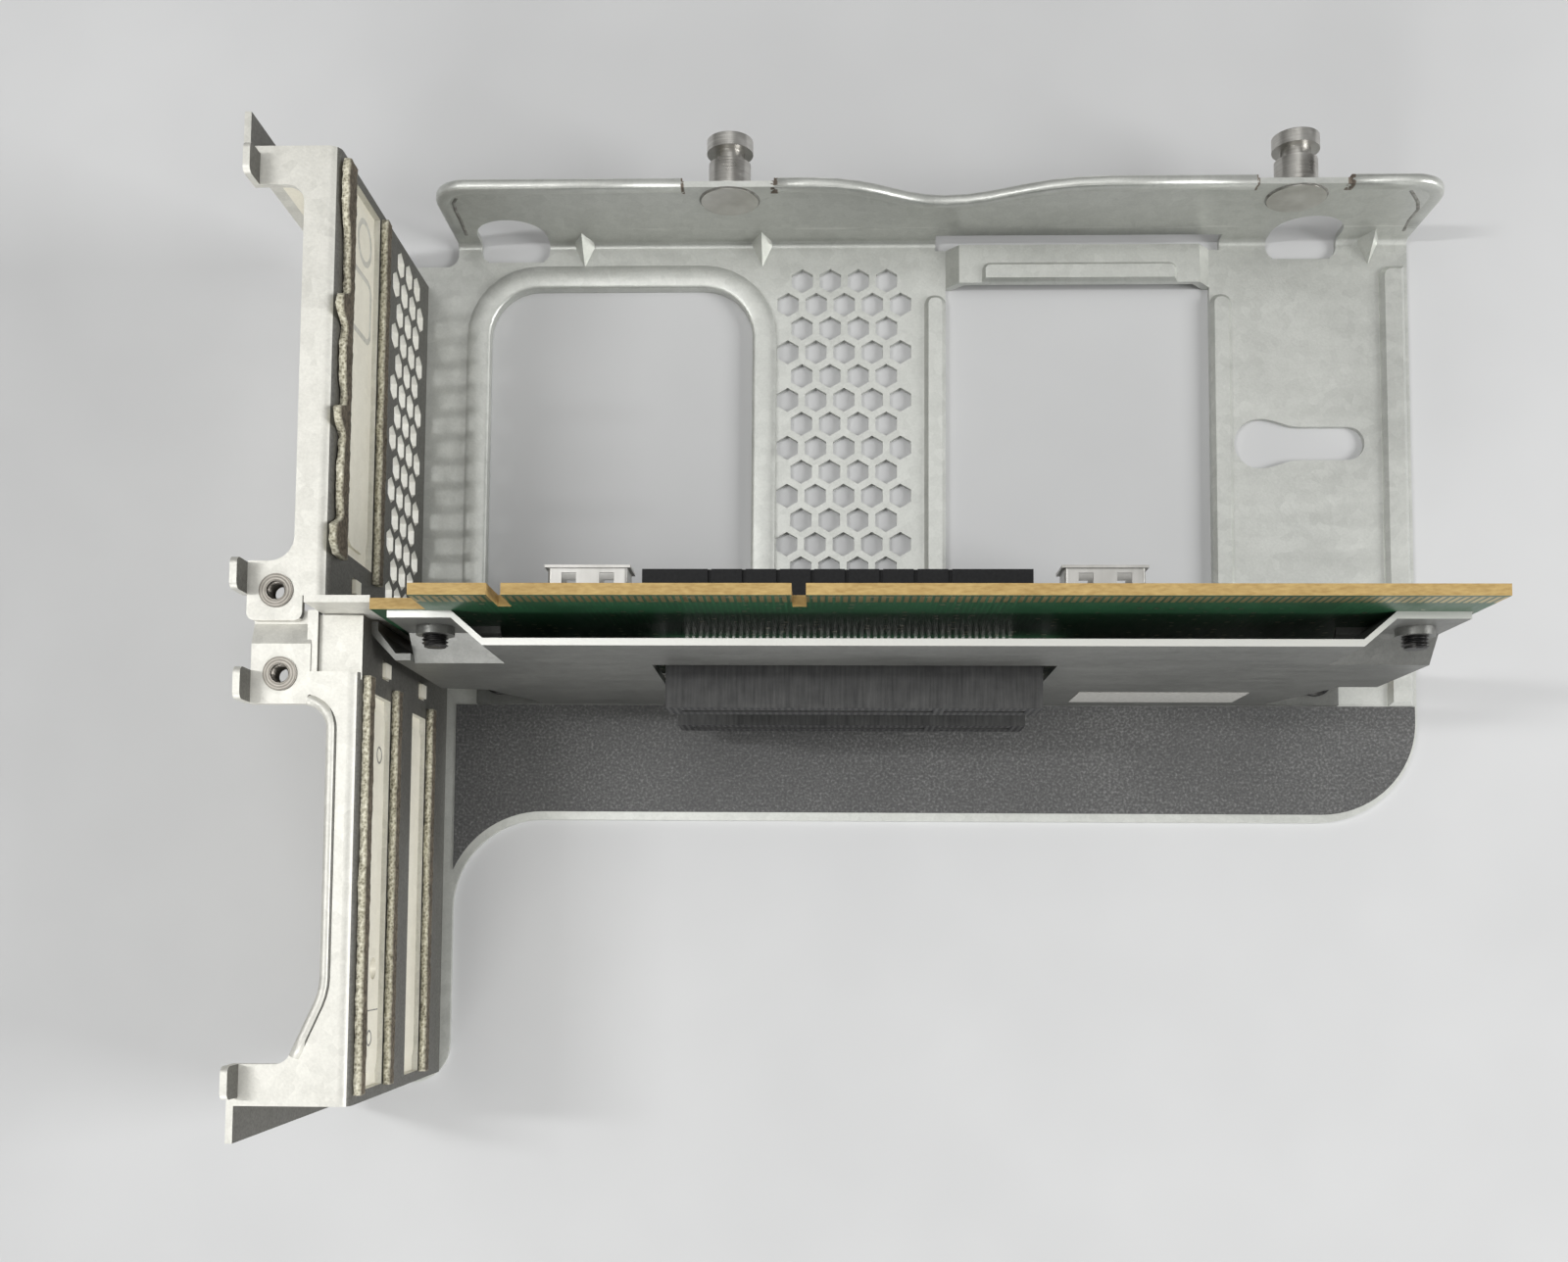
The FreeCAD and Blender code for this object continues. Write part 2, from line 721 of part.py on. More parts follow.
plate_bridged = fused("plate_bridged", [plate_open, bridge, bridge_bead])
vented = doc.addObject("Part::Cut", "vented")
vented.Base = plate_bridged
vented.Tool = plate_vents
node("base_plate", vented)


# Rear panels: upright folded sheets on the west margin of the plate, one each side of the board.
def panel(side, toward, slots):
    """Rear panel: wall, foot, top flange with tabs and lips, ledge and hook. Toward is 1 for north."""
    face = f"{side}_face"
    end = f"{side}_end"
    start = f"{side}_wall_start"
    tab_y = f"{side}_tab_y"
    outer = f"{face} - sheet_thick"
    edge = f"{face} - {side}_flange_width"
    reach = f"{face} - {side}_tab_reach"
    ledge_x = f"{face} - {side}_ledge_reach"
    low, high = sorted((start, end), key=number)
    wall = box(f"{side}_wall", (outer, face), (low, high), ("sheet_thick", "panel_top"))
    foot = box(f"{side}_foot", (f"{face} - foot_width", face),
               (f"{low} + 4 * sheet_thick", f"{high} - 4 * sheet_thick"),
               ("sheet_thick", "2 * sheet_thick"))
    tab_near = f"{tab_y} - ({toward}) * tab_width / 2"
    tab_far = f"{tab_y} + ({toward}) * tab_width / 2"
    end_tab = f"{end} - ({toward}) * end_tab_width"
    gusset_x = f"{edge} - {side}_gusset_reach"
    gusset_y = f"{end_tab} - ({toward}) * {side}_gusset_length"
    top = prism(f"{side}_top", "floor", [
        (face, end), (reach, end), (reach, end_tab), (gusset_x, end_tab), (edge, gusset_y),
        (edge, tab_far), (reach, tab_far), (reach, tab_near), (f"{side}_neck", tab_near),
        (f"{side}_neck", f"{side}_strip_start"), (face, f"{side}_strip_start"),
    ], "panel_top - sheet_thick", "panel_top")
    top_turn = rounded(f"{side}_top_turn", top, "tab_round", upright_at((edge, tab_far)))
    top_corner = top_turn
    if toward > 0:
        top_corner = rounded(f"{side}_top_corner", top_turn, "tab_corner",
                             upright_at((reach, tab_near), (f"{side}_neck", tab_near)))
    top_round = rounded(f"{side}_top_round", top_corner, "gusset_round",
                        upright_at((gusset_x, end_tab), (edge, gusset_y)))
    lips = []
    for spot, middle in (("end", f"{end} - ({toward}) * (tab_lip_inset + tab_lip_width / 2)"),
                         ("mid", f"{tab_y} + ({toward}) * tab_lip_shift")):
        lip_block = box(f"{side}_{spot}_lip_block", (f"{reach} - sheet_thick", reach),
                        (f"{middle} - tab_lip_width / 2", f"{middle} + tab_lip_width / 2"),
                        ("panel_top - sheet_thick", "panel_top + tab_lip_rise"))
        lips.append(rounded(f"{side}_{spot}_lip", lip_block, "sheet_thick", lambda edge: (
            edge.BoundBox.YLength < NEAR and edge.BoundBox.ZLength < NEAR
            and edge.BoundBox.ZMin > number("panel_top + sheet_thick"))))
    ledge_low, ledge_high = sorted((end, f"{end} - ({toward}) * sheet_thick"), key=number)
    ledge = box(f"{side}_ledge", (ledge_x, face), (ledge_low, ledge_high), ("ledge_low", "panel_top"))
    hook_low, hook_high = sorted((f"{end} - ({toward}) * sheet_thick",
                                  f"{end} + ({toward}) * hook_reach"), key=number)
    hook = box(f"{side}_hook", (f"{ledge_x} - sheet_thick", ledge_x), (hook_low, hook_high),
               ("ledge_low", "panel_top"))
    sheet_body = fused(f"{side}_sheet", [wall, foot, top_round, ledge, hook] + lips)
    crowned = rounded(f"{side}_crown", sheet_body, "panel_bend", lambda edge: (
        edge.BoundBox.XLength < NEAR and edge.BoundBox.ZLength < NEAR
        and abs(edge.BoundBox.XMin - number(face)) < NEAR
        and abs(edge.BoundBox.ZMin - number("panel_top")) < NEAR))
    openings = []
    through = (f"{face} - 2 * sheet_thick", f"{face} + sheet_thick")
    tongue_y = f"{start} + ({toward}) * tongue_inset"
    slot_low_y, slot_high_y = sorted((f"{start} + ({toward}) * slot_board_margin",
                                      f"{end} - ({toward}) * slot_end_margin"), key=number)
    for spot, slot_low in enumerate(slots):
        openings.append(box(f"{side}_slot_{spot}", through, (slot_low_y, slot_high_y),
                            (slot_low, f"{slot_low} + {side}_slot_height")))
        tongue_z = f"{slot_low} + {side}_tongue_rise"
        openings.append(box(f"{side}_tongue_{spot}", through,
                            (f"{tongue_y} - tongue_length / 2", f"{tongue_y} + tongue_length / 2"),
                            (f"{tongue_z} - tongue_height / 2", f"{tongue_z} + tongue_height / 2")))
    hole = cylinder(f"{side}_tab_hole", "insert_radius", "4 * sheet_thick",
                    (f"{reach} + tab_hole_inset", tab_y, "panel_top - 2 * sheet_thick"), UP)
    return crowned, openings + [hole]


north_sheet, north_tools = panel("north", 1, ["north_slot_low"])
north_arm = box("north_arm", ("north_face - sheet_thick", "north_arm_end"),
                ("north_wall_start", "north_wall_start + sheet_thick"), ("sheet_thick", "north_arm_top"))
north_joined = fused("north_joined", [north_sheet, north_arm])
north_open = cut("north_open", north_joined, north_tools)
panel_vents = vent_tools(
    "panel_vents",
    FreeCAD.Vector(number("north_face") - 2 * number("sheet_thick"), number("panel_vent_north"),
                   number("panel_vent_low") + number("vent_pitch") * number("panel_vent_across") / 2),
    UP, int(number("panel_vent_rows")), int(number("panel_vent_across")),
    FreeCAD.Vector(1, 0, 0) * vent_depth)
north_vented = doc.addObject("Part::Cut", "north_vented")
north_vented.Base = north_open
north_vented.Tool = panel_vents
node("rear_panel_north", north_vented)

# The south panel ends in a lap plate, set one sheet lower, that passes under the tab of the north panel.
south_sheet, south_tools = panel("south", -1, ["upper_slot_low", "(upper_slot_low - slot_pitch)"])
south_low = box("south_low", ("south_face - 2 * sheet_thick", "south_face + sheet_thick"),
                ("south_strip_start", "south_wall_start + sheet_thick"),
                ("panel_top - sheet_thick", "panel_top + sheet_thick"))
south_trimmed = cut("south_trimmed", south_sheet, [south_low])
lap_z = ("panel_top - 2 * sheet_thick", "panel_top - sheet_thick")
lap_west = box("lap_west", ("south_face - south_tab_reach", "lap_east"),
               ("south_strip_start - sheet_thick", "lap_end"), lap_z)
lap_near = box("lap_near", ("lap_east", "south_face"),
               ("south_strip_start - sheet_thick", "south_wall_start"), lap_z)
lap_ramp = prism("lap_ramp", "side", [
    ("south_tab_y + tab_width / 2", "panel_top"),
    ("south_tab_y + tab_width / 2", "panel_top - sheet_thick"),
    ("south_tab_y + tab_width / 2 + lap_slope", "panel_top - sheet_thick"),
], "south_face - south_tab_reach", "south_neck")
lap_bead = box("lap_bead", ("lap_east - lap_bead_width", "lap_east"), ("south_strip_start", "lap_end"),
               ("panel_top - sheet_thick", "panel_top - sheet_thick + lap_bead_rise"))
south_joined = fused("south_joined", [south_trimmed, lap_west, lap_near, lap_ramp, lap_bead])
node("rear_panel_south", cut("south_open", south_joined, south_tools))


# Board bracket: upright sheet south of the board, jogged at both ends to meet the board, with a west wing
# that turns back to the south panel.
bracket_front = "-bracket_gap - sheet_thick"
ramp_low = "jog_low - jog_drop"
bracket_web = prism("bracket_web", "front", [
    ("west_arch", "sheet_thick"),
    ("east_arch", "sheet_thick"),
    ("east_arch + arch_round", "east_arch_top"),
    ("bracket_tab_right", "east_arch_top"),
    ("bracket_tab_right", ramp_low),
    ("bracket_right", ramp_low),
    ("bracket_right", "bracket_top"),
    ("bracket_left", "bracket_top"),
    ("bracket_left", ramp_low),
    ("bracket_tab_left", ramp_low),
    ("bracket_tab_left", "side_wing_top"),
    ("wing_bend", "side_wing_top"),
    ("wing_bend", "side_wing_low"),
    ("west_arch - arch_round", "west_arch_top"),
], bracket_front, "-bracket_gap")
wing = prism("wing", "floor", [
    ("wing_bend", bracket_front), ("south_face", "wing_turn"), ("south_face", "wing_end"),
    ("south_face + sheet_thick", "wing_end"), ("south_face + sheet_thick", "wing_turn + sheet_thick / 2"),
    ("wing_bend", "-bracket_gap"),
], "side_wing_low", "side_wing_top")


def jog(side, inner, bend, end):
    """Pad of the bracket stepped north to the board, with a slanted cheek and the ramp below."""
    cheek = prism(f"{side}_cheek", "floor", [
        (inner, bracket_front), (bend, "-sheet_thick"), (bend, "0"), (inner, "-bracket_gap"),
    ], ramp_low, "bracket_top")
    pad = box(f"{side}_pad", sorted((bend, end), key=number), ("-sheet_thick", "0"),
              ("jog_low", "bracket_top"))
    ramp = prism(f"{side}_ramp", "side", [
        (bracket_front, ramp_low), ("-bracket_gap", ramp_low), ("0", "jog_low"),
        ("-sheet_thick", "jog_low"),
    ], *sorted((inner, end), key=number))
    return [cheek, pad, ramp]


west_jog = jog("west", "bracket_left", "bracket_left - bracket_jog", "bracket_tab_left")
east_jog = jog("east", "bracket_right", "bracket_right + bracket_jog", "bracket_tab_right")
feet = [
    box("west_foot_tab", ("foot_left", "foot_left + foot_length + 2 * sheet_thick"),
        (bracket_front, f"{bracket_front} + foot_reach + sheet_thick"),
        ("sheet_thick", "2 * sheet_thick")),
    box("east_foot_tab", ("foot_right - foot_length - 2 * sheet_thick", "foot_right"),
        (bracket_front, f"{bracket_front} + foot_reach + sheet_thick"),
        ("sheet_thick", "2 * sheet_thick")),
    box("west_foot_leg", ("west_arch - 2 * sheet_thick", "west_arch + sheet_thick"),
        (bracket_front, "-bracket_gap"), ("sheet_thick", "3 * sheet_thick")),
    box("east_foot_leg", ("east_arch - sheet_thick", "east_arch + 3 * sheet_thick"),
        (bracket_front, "-bracket_gap"), ("sheet_thick", "3 * sheet_thick")),
]
board_screw_places = {"west": "board_screw_west", "east": "board_right - board_screw_edge"}
bosses = [
    cylinder(f"boss_{side}", "boss_radius", "boss_reach",
             (x, "-sheet_thick - boss_reach", "board_screw_z"), NORTH)
    for side, x in board_screw_places.items()
]
bracket_solid = fused("bracket_solid", [bracket_web, wing] + west_jog + east_jog + feet + bosses)
socket_cutout = box("socket_cutout",
                    ("socket_left - cutout_margin", "socket_left + socket_length + cutout_margin"),
                    (f"{bracket_front} - sheet_thick", "0"),
                    ("cutout_low", "upper_socket_top + cutout_rise"))
screw_ways = [
    cylinder(f"screw_way_{side}", "screw_radius + screw_clear", "bracket_gap + 6 * sheet_thick",
             (x, "-bracket_gap - 3 * sheet_thick", "board_screw_z"), NORTH)
    for side, x in board_screw_places.items()
]
foot_holes = [
    cylinder(f"foot_hole_{side}", "screw_radius + screw_clear", "4 * sheet_thick",
             (f"bracket_screw_{side}", "bracket_screw_y", "0"), UP)
    for side in ("west", "east")
]
node("board_bracket", cut("bracket_cut", bracket_solid, [socket_cutout] + screw_ways + foot_holes))


# Riser board: glass-fibre sheet on edge, with two key notches in its upper, connector edge.
board_blank = prism("board_blank", "front", [
    ("board_left", "board_top"), ("board_right", "board_top"), ("board_right", "board_low"),
    ("ear_left", "board_low"), ("ear_left", "ear_top"), ("board_left", "ear_top"),
], "0", "board_thick")
keys = [
    box(f"key_{place}", (f"{place}_key_x - key_width / 2", f"{place}_key_x + key_width / 2"),
        ("-board_thick", "2 * board_thick"), ("board_top - key_depth", "board_top + key_depth"))
    for place in ("short", "long")
]
board_holes = [
    cylinder(f"board_hole_{side}", "screw_radius + screw_clear", "3 * board_thick",
             (x, "-board_thick", "board_screw_z"), NORTH)
    for side, x in board_screw_places.items()
]
node("riser_board", cut("board_cut", board_blank, keys + board_holes))


# Card sockets: moulded housings with a card slot, soldered flat to the board, and their leads.
def socket(name, top, near, far, mouth, extra):
    """Housing between the board face and the mouth plane. Extra lengthens its west end."""
    low, high = sorted((near, far), key=number)
    left = f"socket_left - {extra}"
    right = "socket_left + socket_length"
    block = box(f"{name}_block", (left, right), (low, high), (f"{top} - socket_width", top))
    middle = f"{top} - socket_width / 2"
    slot_low, slot_high = sorted((far, f"{far} - ({mouth}) * card_slot_depth"), key=number)
    over = f"({mouth}) * sheet_thick"
    open_low, open_high = sorted((slot_low, slot_high, f"{far} + {over}"), key=number)[::2]
    slot_z = (f"{middle} - card_slot_width / 2", f"{middle} + card_slot_width / 2")
    key_left = f"{right} - card_slot_margin - socket_key_x - socket_key_width"
    slots = [
        box(f"{name}_long_slot", ("socket_left + card_slot_margin", key_left), (open_low, open_high),
            slot_z),
        box(f"{name}_short_slot", (f"{key_left} + socket_key_width", f"{right} - card_slot_margin"),
            (open_low, open_high), slot_z),
    ]
    step_low, step_high = sorted((near, f"{near} + ({mouth}) * lead_rise"), key=number)
    reliefs = [
        box(f"{name}_relief_{side}", ("socket_left + card_slot_margin", f"{right} - card_slot_margin"),
            (step_low, step_high), place)
        for side, place in (("upper", (f"{top} - socket_relief", f"{top} + socket_relief")),
                            ("lower", (f"{top} - socket_width - socket_relief",
                                       f"{top} - socket_width + socket_relief")))
    ]
    grooves = []
    count = int((number("socket_length") - number("rib_pitch")) / number("rib_pitch"))
    groove_low, groove_high = sorted((f"{near} + ({mouth}) * lead_rise * 1.6",
                                      f"{far} + ({mouth}) * socket_relief"), key=number)
    for step in range(1, count):
        grooves.append(box(f"{name}_groove_{step}",
                           (f"socket_left + {step} * rib_pitch",
                            f"socket_left + {step} * rib_pitch + rib_width"),
                           (groove_low, groove_high),
                           (f"{top} - socket_relief", f"{top} + socket_relief")))
    node(f"{name}_housing",
         cut(f"{name}_cut", block, slots + reliefs + (grooves if extra != "0" else [])))
    leads = []
    count = int((number("socket_length") - 2 * number("card_slot_margin")) / number("lead_pitch"))
    for step in range(count):
        x = f"socket_left + card_slot_margin + lead_pitch / 2 + {step} * lead_pitch"
        lead_low, lead_high = sorted((near, f"{near} + ({mouth}) * lead_rise"), key=number)
        across = (f"{x} - lead_width / 2", f"{x} + lead_width / 2")
        rows = ((f"{top} - socket_relief", f"{top} - socket_relief + lead_thick"),
                (f"{top} - socket_width + socket_relief - lead_thick",
                 f"{top} - socket_width + socket_relief"))
        for row, height in enumerate(rows):
            leads.append(box(f"{name}_lead_{step}_{row}", across, (lead_low, lead_high), height))
    node(f"{name}_leads", grouped(f"{name}_lead_group", leads))


socket("upper_socket", "upper_socket_top", "0", "-socket_depth", -1, "0")
socket("lower_socket", "(upper_socket_top - slot_pitch)", "0", "-socket_depth", -1, "0")
socket("north_socket", "north_socket_top", "board_thick", "(board_thick + north_socket_depth)", 1,
       "north_end_block")


# USB sockets: folded shells standing off the north face of the board, each with a moulded tongue.
def usb(side):
    x = f"usb_{side}_x"
    mid = "usb_top - usb_height / 2"
    tip = "board_thick + usb_reach"
    shell = box(f"usb_shell_{side}_block", (f"{x} - usb_width / 2", f"{x} + usb_width / 2"),
                ("board_thick", tip),
                ("usb_top - usb_height", "usb_top"))
    shell_round = rounded(f"usb_shell_{side}_round", shell, "usb_wall * 1.6", lambda edge: (
        edge.BoundBox.XLength < NEAR and edge.BoundBox.ZLength < NEAR))
    hollow = box(f"usb_shell_{side}_hollow",
                 (f"{x} - usb_width / 2 + usb_wall", f"{x} + usb_width / 2 - usb_wall"),
                 ("board_thick - usb_wall", f"{tip} + usb_wall"),
                 ("usb_top - usb_height + usb_wall", "usb_top - usb_wall"))
    mouth = box(f"usb_shell_{side}_mouth",
                (f"{x} - usb_width / 2 - usb_flare", f"{x} + usb_width / 2 + usb_flare"),
                (f"{tip} - usb_flare", tip),
                ("usb_top - usb_height - usb_flare", "usb_top + usb_flare"))
    windows = []
    for place in (-1, 1):
        windows.append(box(f"usb_window_{side}_{place + 1}",
                           (f"{x} + ({place}) * usb_window_x - usb_window_width / 2",
                            f"{x} + ({place}) * usb_window_x + usb_window_width / 2"),
                           (f"{tip} - usb_window_inset - usb_window_length", f"{tip} - usb_window_inset"),
                           ("usb_top - usb_height - usb_wall", "usb_top + usb_wall")))
    flared = fused(f"usb_shell_{side}_flared", [shell_round, mouth])
    node(f"usb_shell_{side}", cut(f"usb_shell_{side}_cut", flared, [hollow] + windows))
    base = box(f"usb_base_{side}", (f"{x} - usb_width / 2 + usb_wall", f"{x} + usb_width / 2 - usb_wall"),
               ("board_thick", "board_thick + usb_base"),
               ("usb_top - usb_height + usb_wall", "usb_top - usb_wall"))
    blade = box(f"usb_blade_{side}", (f"{x} - tongue_width / 2", f"{x} + tongue_width / 2"),
                ("board_thick", "board_thick + usb_base + tongue_reach"),
                (f"{mid} - tongue_thick / 2", f"{mid} + tongue_thick / 2"))
    node(f"usb_tongue_{side}", fused(f"usb_tongue_{side}_solid", [base, blade]))


usb("west")
usb("east")


# Guide pins: turned steel, riveted through the north flange from the inside.
def guide_pin(side):
    x = f"pin_{side}"
    outside = "flange_face + sheet_thick"
    runs = [
        ("rivet", "rivet_radius", "rivet_proud", "flange_face - rivet_proud"),
        ("tenon", "pin_tenon", "sheet_thick", "flange_face"),
        ("shaft", "pin_radius", "pin_shaft", outside),
        ("neck", "pin_neck_radius", "pin_neck", f"{outside} + pin_shaft"),
        ("head", "pin_head_radius", "pin_head", f"{outside} + pin_shaft + pin_neck"),
    ]
    pieces = [cylinder(f"pin_{side}_{part}", radius, length, (x, start, "pin_z"), NORTH)
              for part, radius, length, start in runs]
    node(f"guide_pin_{side}", fused(f"pin_{side}_turned", pieces))


guide_pin("west")
guide_pin("east")


# Screws: pan heads with a round driver recess.
def screw(name, base, axis, away, shank):
    """Screw with its head seated on a base point. Axis points to the head, away the other way."""
    head = cylinder(f"{name}_head", "screw_head_radius", "screw_head", base, axis)
    stem = cylinder(f"{name}_stem", "screw_radius", shank, base, away)
    lift = [f"{place} + ({step}) * (screw_head - recess_depth)" for place, step in zip(base, axis)]
    recess = cylinder(f"{name}_recess", "recess_radius", "2 * recess_depth", lift, axis)
    seat = FreeCAD.Vector(*[number(place) for place in base])
    crown = number("screw_head") - NEAR
    head_round = bevelled(f"{name}_head_round", head, "screw_head * 0.45",
                          lambda edge: (edge.CenterOfMass - seat).dot(axis) > crown)
    return cut(name, fused(f"{name}_solid", [head_round, stem]), [recess])


board_screws = [
    screw(f"board_screw_{side}", (x, "board_thick", "board_screw_z"), NORTH, SOUTH,
          "board_thick + sheet_thick + screw_tip")
    for side, x in board_screw_places.items()
]
node("board_screws", grouped("board_screw_group", board_screws))
bracket_screws = [
    screw(f"bracket_screw_{side}_whole", (f"bracket_screw_{side}", "bracket_screw_y", "2 * sheet_thick"),
          UP, -UP, "2 * sheet_thick")
    for side in ("west", "east")
]
node("bracket_screws", grouped("bracket_screw_group", bracket_screws))


# Blank slot covers: flat strips behind the card slots, each with a tab turned out over the ledge.
def cover(name, side, toward, slot_low, holed):
    end = f"{side}_end"
    start = f"{side}_wall_start"
    outer = f"{side}_face - sheet_thick"
    middle = f"{slot_low} + {side}_slot_height / 2"
    z = (f"{middle} - cover_width / 2", f"{middle} + cover_width / 2")
    inner_end = f"{end} - ({toward}) * sheet_thick"
    strip_y = sorted((f"{start} + ({toward}) * cover_start", inner_end), key=number)
    strip = box(f"{name}_strip", (f"{outer} - cover_thick", outer), strip_y, z)
    tab_y = sorted((inner_end, f"{inner_end} - ({toward}) * cover_thick"), key=number)
    tab = box(f"{name}_tab", (f"{outer} - cover_tab_reach", outer), tab_y, z)
    pad_y = sorted((f"{start} + ({toward}) * (slot_board_margin + 2 * sheet_thick)",
                    f"{end} - ({toward}) * (slot_end_margin + 2 * sheet_thick)"), key=number)
    pad = box(f"{name}_pad", (outer, f"{outer} + cover_emboss"), pad_y,
              (f"{slot_low} + sheet_thick", f"{slot_low} + {side}_slot_height - sheet_thick"))
    pad_round = rounded(f"{name}_pad_round", pad, f"{side}_slot_height * 0.25", lambda edge: (
        edge.BoundBox.YLength < NEAR and edge.BoundBox.ZLength < NEAR))
    toe_y = f"{start} + ({toward}) * tongue_inset"
    toe_z = f"{slot_low} + {side}_tongue_rise"
    toe = box(f"{name}_toe", (f"{outer} - cover_thick", f"{side}_face + cover_toe_proud"),
              (f"{toe_y} - tongue_length / 2 + cover_toe_clear",
               f"{toe_y} + tongue_length / 2 - cover_toe_clear"),
              (f"{toe_z} - tongue_height / 2 + cover_toe_clear",
               f"{toe_z} + tongue_height / 2 - cover_toe_clear"))
    whole = fused(f"{name}_solid", [strip, tab, pad_round, toe])
    if holed:
        hole = cylinder(f"{name}_hole", "cover_hole / 2", "6 * sheet_thick",
                        (f"{outer} - 3 * sheet_thick", f"{end} - ({toward}) * cover_hole_inset", middle),
                        FreeCAD.Vector(1, 0, 0))
        whole = cut(f"{name}_cut", whole, [hole])
    node(name, whole)


cover("slot_cover_upper", "south", -1, "upper_slot_low", True)
cover("slot_cover_lower", "south", -1, "(upper_slot_low - slot_pitch)", False)
cover("slot_cover_north", "north", 1, "north_slot_low", False)


# Gasket strips: knitted conductive strips stuck to the inner faces of the rear panels beside the slots.
def gasket(name, face, y, low):
    strip = box(f"{name}_strip", (face, f"{face} + gasket_thick"), y, (low, f"{low} + gasket_height"))
    node(name, rounded(f"{name}_soft", strip, "gasket_thick * 0.45", lambda edge: (
        edge.BoundBox.XLength < NEAR and edge.BoundBox.ZLength < NEAR
        and edge.BoundBox.XMin > number(face) + NEAR)))


south_run = ("south_end + gasket_end_gap", "south_wall_start - gasket_start")
north_run = ("north_wall_start + gasket_start", "north_end - gasket_end_gap")
gasket("gasket_upper", "south_face", south_run,
       "panel_top - sheet_thick - gasket_drop - gasket_height")
gasket("gasket_middle", "south_face", south_run, "upper_slot_low - gasket_clear - gasket_height")
gasket("gasket_lower", "south_face", south_run,
       "upper_slot_low - slot_pitch - gasket_clear - gasket_height")
gasket("gasket_north_top", "north_face", north_run,
       "north_slot_low + north_slot_height + gasket_clear + gasket_lift")
gasket("gasket_north_low", "north_face", north_run, "north_slot_low - gasket_clear - gasket_height")


# Insulating film on the plate, south of the bracket, following the edge of the plate.
film_blank = prism("film_blank", "floor", [
    ("arm_right", "film_low"),
    ("arm_right + corner_inner", "film_low"),
    ("arm_right + corner_inner", "plate_south + film_margin"),
    ("plate_right - film_side_margin", "plate_south + film_margin"),
    ("plate_right - film_side_margin", f"{bracket_front} - film_clear"),
    ("arm_right", f"{bracket_front} - film_clear"),
], "sheet_thick", "sheet_thick + film_thick")
film_se = rounded("film_se", film_blank, "corner_outer - film_margin",
                  upright_at(("plate_right - film_side_margin", "plate_south + film_margin")))
film_bite = cylinder("film_bite", "corner_inner + film_margin", "3 * sheet_thick",
                     ("arm_right + corner_inner", "plate_south - corner_inner", "0"), UP)
node("insulator_film", cut("film_cut", film_se, [film_bite]))

# Blank paper label on the south face of the bracket.
node("board_label", box("label_sheet", ("label_left", "label_left + label_length"),
                        (f"{bracket_front} - label_thick", bracket_front),
                        ("label_low", "label_low + label_height")))


# Threaded inserts pressed into the screw tabs.
def insert(side):
    place = (f"{side}_face - {side}_tab_reach + tab_hole_inset", f"{side}_tab_y")
    rim_ring = cylinder(f"{side}_insert_rim", "insert_rim_radius", "insert_rim", place + ("panel_top",),
                        UP)
    barrel = cylinder(f"{side}_insert_barrel", "insert_radius", "insert_reach + sheet_thick",
                      place + ("panel_top - sheet_thick - insert_reach",), UP)
    bore = cylinder(f"{side}_insert_bore", "insert_bore", "2 * insert_reach + 2 * sheet_thick",
                    place + ("panel_top - 2 * sheet_thick - insert_reach",), UP)
    node(f"tab_insert_{side}",
         cut(f"{side}_insert_cut", fused(f"{side}_insert_solid", [rim_ring, barrel]), [bore]))


insert("north")
insert("south")

doc.recompute()
for item in doc.Objects:
    if "Invalid" in item.State or "Error" in item.State:
        raise RuntimeError(f"{item.Label} failed: {item.State}")
for piece in nodes:
    if piece.Shape.isNull() or not piece.Shape.isValid() or not piece.Shape.Solids:
        raise RuntimeError(f"{piece.Label} has no valid shape")

os.makedirs("parts", exist_ok=True)
for piece in nodes:
    piece.Shape.exportStep(f"parts/{piece.Label}.step")
print(len(nodes), "nodes")
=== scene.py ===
import math

import bmesh
import bpy
from mathutils import Matrix, Vector, geometry, noise


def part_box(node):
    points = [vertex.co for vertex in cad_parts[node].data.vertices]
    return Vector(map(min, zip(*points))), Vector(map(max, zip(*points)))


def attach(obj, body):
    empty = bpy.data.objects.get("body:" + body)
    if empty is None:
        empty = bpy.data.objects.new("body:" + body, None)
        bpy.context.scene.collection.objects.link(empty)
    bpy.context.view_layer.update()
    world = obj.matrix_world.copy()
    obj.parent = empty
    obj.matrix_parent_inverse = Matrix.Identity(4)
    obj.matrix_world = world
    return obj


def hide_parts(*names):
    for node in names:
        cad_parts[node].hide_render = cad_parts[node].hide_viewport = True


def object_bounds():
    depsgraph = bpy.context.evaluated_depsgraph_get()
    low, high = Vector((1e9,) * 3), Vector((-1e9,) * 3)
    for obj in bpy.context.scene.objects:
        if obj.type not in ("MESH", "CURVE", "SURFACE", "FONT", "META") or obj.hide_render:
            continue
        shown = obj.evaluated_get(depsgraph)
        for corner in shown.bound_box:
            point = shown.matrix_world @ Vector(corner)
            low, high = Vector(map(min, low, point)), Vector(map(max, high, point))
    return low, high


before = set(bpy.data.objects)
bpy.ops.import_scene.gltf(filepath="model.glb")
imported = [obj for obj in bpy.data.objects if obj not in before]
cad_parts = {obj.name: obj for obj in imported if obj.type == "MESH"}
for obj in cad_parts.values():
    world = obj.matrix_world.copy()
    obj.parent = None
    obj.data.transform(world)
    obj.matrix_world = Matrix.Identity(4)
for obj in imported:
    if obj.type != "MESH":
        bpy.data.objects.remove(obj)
cad_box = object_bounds()


